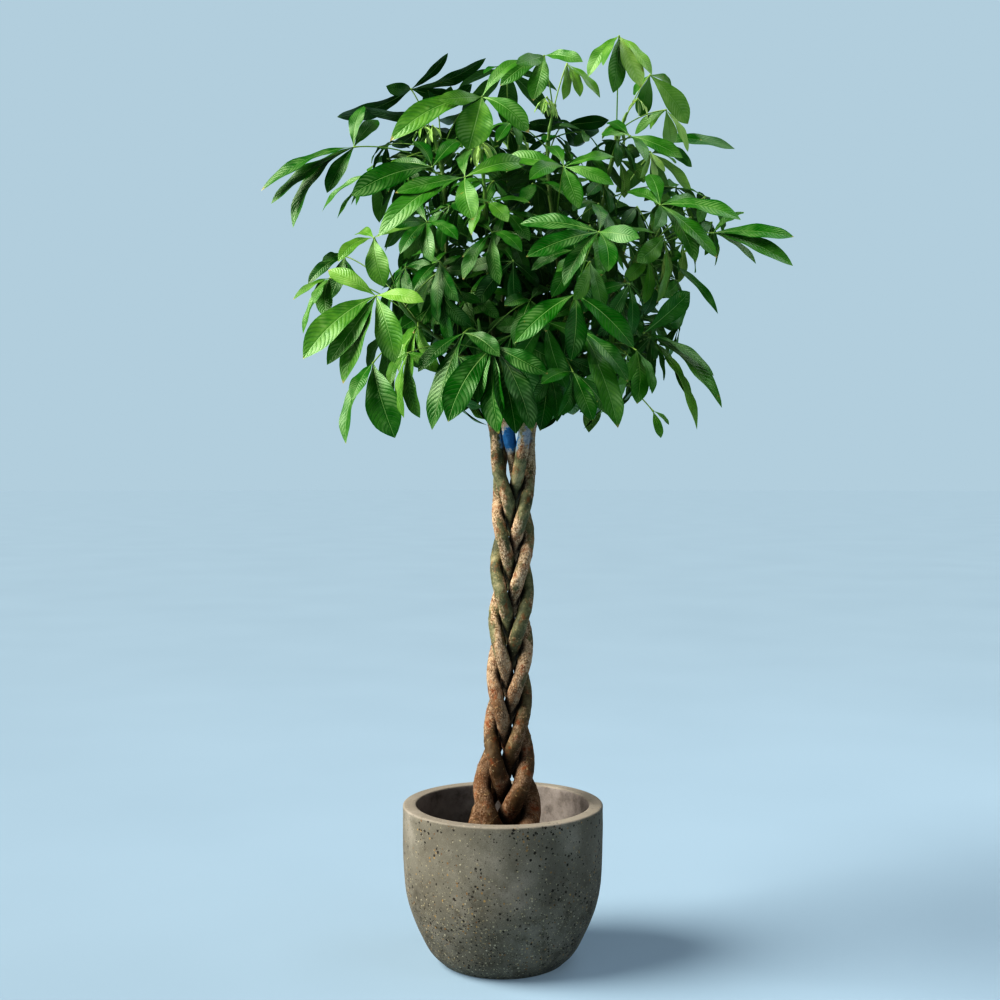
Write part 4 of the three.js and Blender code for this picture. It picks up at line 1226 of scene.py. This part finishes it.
def cast_pot(name):
    """The pot, turned from its section, with a slight unevenness of its walls."""
    form = bmesh.new()
    rings = []
    for radius, height in pot_profile():
        if radius == 0:
            rings.append([form.verts.new((0, 0, height * MM))] * POT_SIDES)
            continue
        uneven = POT_WOBBLE * min(radius / 40, 1) * (4 < height < POT_HEIGHT - 6)
        ring = []
        for i in range(POT_SIDES):
            turn = 2 * math.pi * i / POT_SIDES
            spot = Vector((radius * math.cos(turn), radius * math.sin(turn), height))
            shift = uneven * (noise.noise(spot / 34) - 0.6 + 0.4 * noise.noise(spot / 9))
            ring.append(form.verts.new(Vector((spot.x, spot.y, 0)) * (1 + shift / radius) * MM
                                       + Vector((0, 0, height * MM))))
        rings.append(ring)
    for lower, upper in zip(rings, rings[1:]):
        for i in range(POT_SIDES):
            after = (i + 1) % POT_SIDES
            corners = dict.fromkeys((lower[i], lower[after], upper[after], upper[i]))
            if len(corners) > 2:
                form.faces.new(list(corners))
    return formed(form, name)


def soil_bed():
    """The soil's top, mounded towards the trunk and uneven, closed below."""
    edge = POT_RADIUS - POT_WALL - 0.2
    form = bmesh.new()
    rings = []
    for number in range(1, SOIL_RINGS + 1):
        radius = edge * math.sqrt(number / SOIL_RINGS)
        share = radius / edge
        ring = []
        for i in range(SOIL_SIDES):
            turn = 2 * math.pi * i / SOIL_SIDES
            spot = Vector((radius * math.cos(turn), radius * math.sin(turn), 0))
            height = SOIL_EDGE_HEIGHT + SOIL_MOUND * (1 - share * share)
            height += (1 - share ** 6) * (2.2 * noise.noise(spot / 22) + 1.2 * noise.noise(spot / 7))
            ring.append(form.verts.new((spot.x * MM, spot.y * MM, height * MM)))
        rings.append(ring)
    base = (SOIL_EDGE_HEIGHT - SOIL_DEPTH) * MM
    rings.append([form.verts.new((v.co.x * 0.98, v.co.y * 0.98, base)) for v in rings[-1]])
    top = form.verts.new((0, 0, (SOIL_EDGE_HEIGHT + SOIL_MOUND) * MM))
    bottom = form.verts.new((0, 0, base))
    for i in range(SOIL_SIDES):
        after = (i + 1) % SOIL_SIDES
        form.faces.new((top, rings[0][i], rings[0][after]))
        form.faces.new((bottom, rings[-1][after], rings[-1][i]))
        for inner, outer in zip(rings, rings[1:]):
            form.faces.new((inner[i], outer[i], outer[after], inner[after]))
    return formed(form, "soil_bed")


# The camera, then the finishes, then every piece in its place

camera_data = bpy.data.cameras.new("Camera")
camera_data.sensor_width = VIEW_SENSOR
camera_data.lens = VIEW_SENSOR * VIEW_FOCAL / (2 * VIEW_MIDDLE)
camera_data.clip_end = 2 * FLOOR_RADIUS
camera = shown("Camera", camera_data)
camera.location = VIEW_EYE * MM
camera.rotation_euler = (math.radians(90) - VIEW_PITCH, 0, 0)
bpy.context.scene.camera = camera

speck_tree = speck_group()
vein_tree = vein_group()
bark = bark_finish(speck_tree)
concrete = concrete_finish(speck_tree)
soil = soil_finish()
stalk = stalk_finish()
upper_side = leaf_finish("Leaf upper side", vein_tree, UPPER_TONES, rib_shade="a9c97e", ribs=0.5, veins=0.1,
                         painted_sheen=0.36, relief=0.24, rough=0.34, gloss=0.46, coat=0.07)
underside = leaf_finish("Leaf underside", vein_tree, UNDER_TONES, rib_shade="b9d592", ribs=0.6, veins=0.2,
                        painted_sheen=0.0, relief=0.3, rough=0.55, gloss=0.2, coat=0.0)

pot = shown("concrete_pot", cast_pot("concrete_pot"))
pot.data.materials.append(concrete)
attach(pot, "root")
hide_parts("pot")

soil_piece = grown("crumbly_soil", soil_bed(), soil_tree(), Soil=soil)
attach(soil_piece, "root")
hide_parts("soil")

stems = [stem_line(i) for i in range(STEM_COUNT)]
stem_growth = bark_stem_tree()
for i, line in enumerate(stems):
    shares = np.linspace(STEM_BURIED / line.length, 1, int(line.length / STEM_POINTS_EVERY))
    points = line.spaced(shares)
    radii = [stem_radius(point[2]) * math.sqrt(1 - max(0, 1 - to_end / STEM_TOP_ROUNDING) ** 2) + 0.05
             for point, to_end in zip(points, (1 - shares) * line.length)]
    skeleton = lines_mesh(f"bark_stem_{i + 1}", [dict(points=points, radii=radii, tones=[0.5] * len(points))])
    note(skeleton, "number", [float(i)] * len(points))
    note(skeleton, "along", shares * line.length * MM)
    note(skeleton, "middle", (points * MM).ravel(), "FLOAT_VECTOR")
    stem_piece = grown(f"bark_stem_{i + 1}", skeleton, stem_growth, Bark=bark)
    shade_crevices(stem_piece.data, [other for other in stems if other is not line])
    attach(stem_piece, "root")
    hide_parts(f"trunk_stem_{i + 1}")

chance = random.Random(FILL_SEED)
taken = set()
for number, shoot in enumerate(SHOOTS):
    shoot["number"] = number
    shoot["line"] = shoot_line(shoot, stems[shoot["stem"]])
    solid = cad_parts["shoot_" + shoot["name"]].data
    corners = found_by_place([vertex.co / MM for vertex in solid.vertices])
    by_rule = [dict(index=i, tone=GROWN_TONES[0] + GROWN_TONES[1] * ((i * 7 + number * 3) % 5) / 5)
               for i in range(shoot["grown"])]
    shoot["made"] = []
    for entry in shoot["leaves"] + by_rule:
        shape, slide = settled(shoot, entry, corners)
        made = leaflets(shape, entry["tone"], chance, seen=entry.get("tips", ()))
        taken.update(*map(cells_of, made))
        shoot["made"].append((shape[0], slide, entry["tone"], made))
    shoot["tone"] = sum(tone for _, _, tone, _ in shoot["made"]) / len(shoot["made"])

branches = [shoot["line"].spaced(np.linspace(0.25, 1, 16)) for shoot in SHOOTS]
for zone in FILL_ZONES:
    missing = zone["count"]
    for _ in range(zone["count"] * FILL_TRIES):
        if not missing:
            break
        shape = fill_leaf(zone, chance)
        if not all(within(zone, tip) for tip in shape[1]):
            continue
        away = [np.linalg.norm(points - np.array(shape[0]), axis=1).min() for points in branches]
        if not FILL_STALKS[0] < min(away) < FILL_STALKS[1]:
            continue
        made = leaflets(shape, chance.uniform(*zone["tones"]), chance)
        cells = set().union(*map(cells_of, made))
        if taken.isdisjoint(cells):
            SHOOTS[int(np.argmin(away))]["made"].append((shape[0], 0.0, FILL_TONE, made))
            taken |= cells
            missing -= 1
for shoot in SHOOTS:
    for _ in range(YOUNG_LEAVES if shoot["name"] in YOUNG_SHOOTS else 0):
        shape = young_leaf(shoot, chance)
        made = leaflets(shape, chance.uniform(0.8, 1), chance, young=1.0)
        shoot["made"].append((shape[0], 0.0, YOUNG_TONE, made))

shoot_growth = leafy_shoot_tree()
for shoot in SHOOTS:
    lines, blades, feet = [], [], []
    for hub, slide, tone, made in shoot["made"]:
        path = stalk_points(shoot, hub, slide)
        lines.append(stalk_line(path, tone))
        away = np.linalg.norm(shoot["line"].evenly(101) - path[0], axis=1)
        feet.append(int(away.argmin()) / 100)
        blades += made
    lines.append(branch_line(shoot, feet))
    name = "leafy_shoot_" + shoot["name"]
    piece = grown(name, lines_mesh(name, lines, blades), shoot_growth, Stalk=stalk, Upper_Side=upper_side,
                  Underside=underside)
    drawn_in(piece.data)
    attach(piece, "root")
    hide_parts("shoot_" + shoot["name"])

# Studio

floor_form = bmesh.new()
bmesh.ops.create_circle(floor_form, cap_ends=True, radius=FLOOR_RADIUS, segments=96)
floor_mesh = bpy.data.meshes.new("studio_floor")
floor_form.to_mesh(floor_mesh)
floor_form.free()
floor_mesh.materials.append(studio_finish())
floor = shown("studio_floor", floor_mesh)

world = bpy.data.worlds.new("Studio")
world.use_nodes = True
world.node_tree.nodes.clear()
sky = Tree(world.node_tree)
around = sky.add("ShaderNodeBackground", Color=colour(AROUND_SHADE), Strength=AROUND_STRENGTH)
behind = sky.add("ShaderNodeBackground", Color=colour(BACKDROP_SHADE), Strength=1.0)
seen = sky.add("ShaderNodeLightPath", out="Is Camera Ray")
sky.add("ShaderNodeOutputWorld", Surface=sky.add("ShaderNodeMixShader", seen, around, behind))
bpy.context.scene.world = world

sun_data = bpy.data.lights.new("Key", "SUN")
sun_data.energy = KEY_STRENGTH
sun_data.angle = KEY_SOFTNESS
sun_data.color = colour(KEY_SHADE)[:3]
sun = shown("Key", sun_data)
sun.rotation_euler = KEY_FROM.to_track_quat("Z", "Y").to_euler()
for name, place, target, size, power in LAMPS:
    lamp_data = bpy.data.lights.new(name, "AREA")
    lamp_data.shape = "DISK"
    lamp_data.size = size
    lamp_data.energy = power
    lamp_data.color = colour(LAMP_SHADE)[:3]
    lamp = shown(name, lamp_data)
    lamp.location = place
    lamp.rotation_euler = (Vector(target) - Vector(place)).to_track_quat("-Z", "Y").to_euler()

bpy.context.scene.view_settings.view_transform = "Standard"
bpy.context.scene.view_settings.look = "High Contrast"
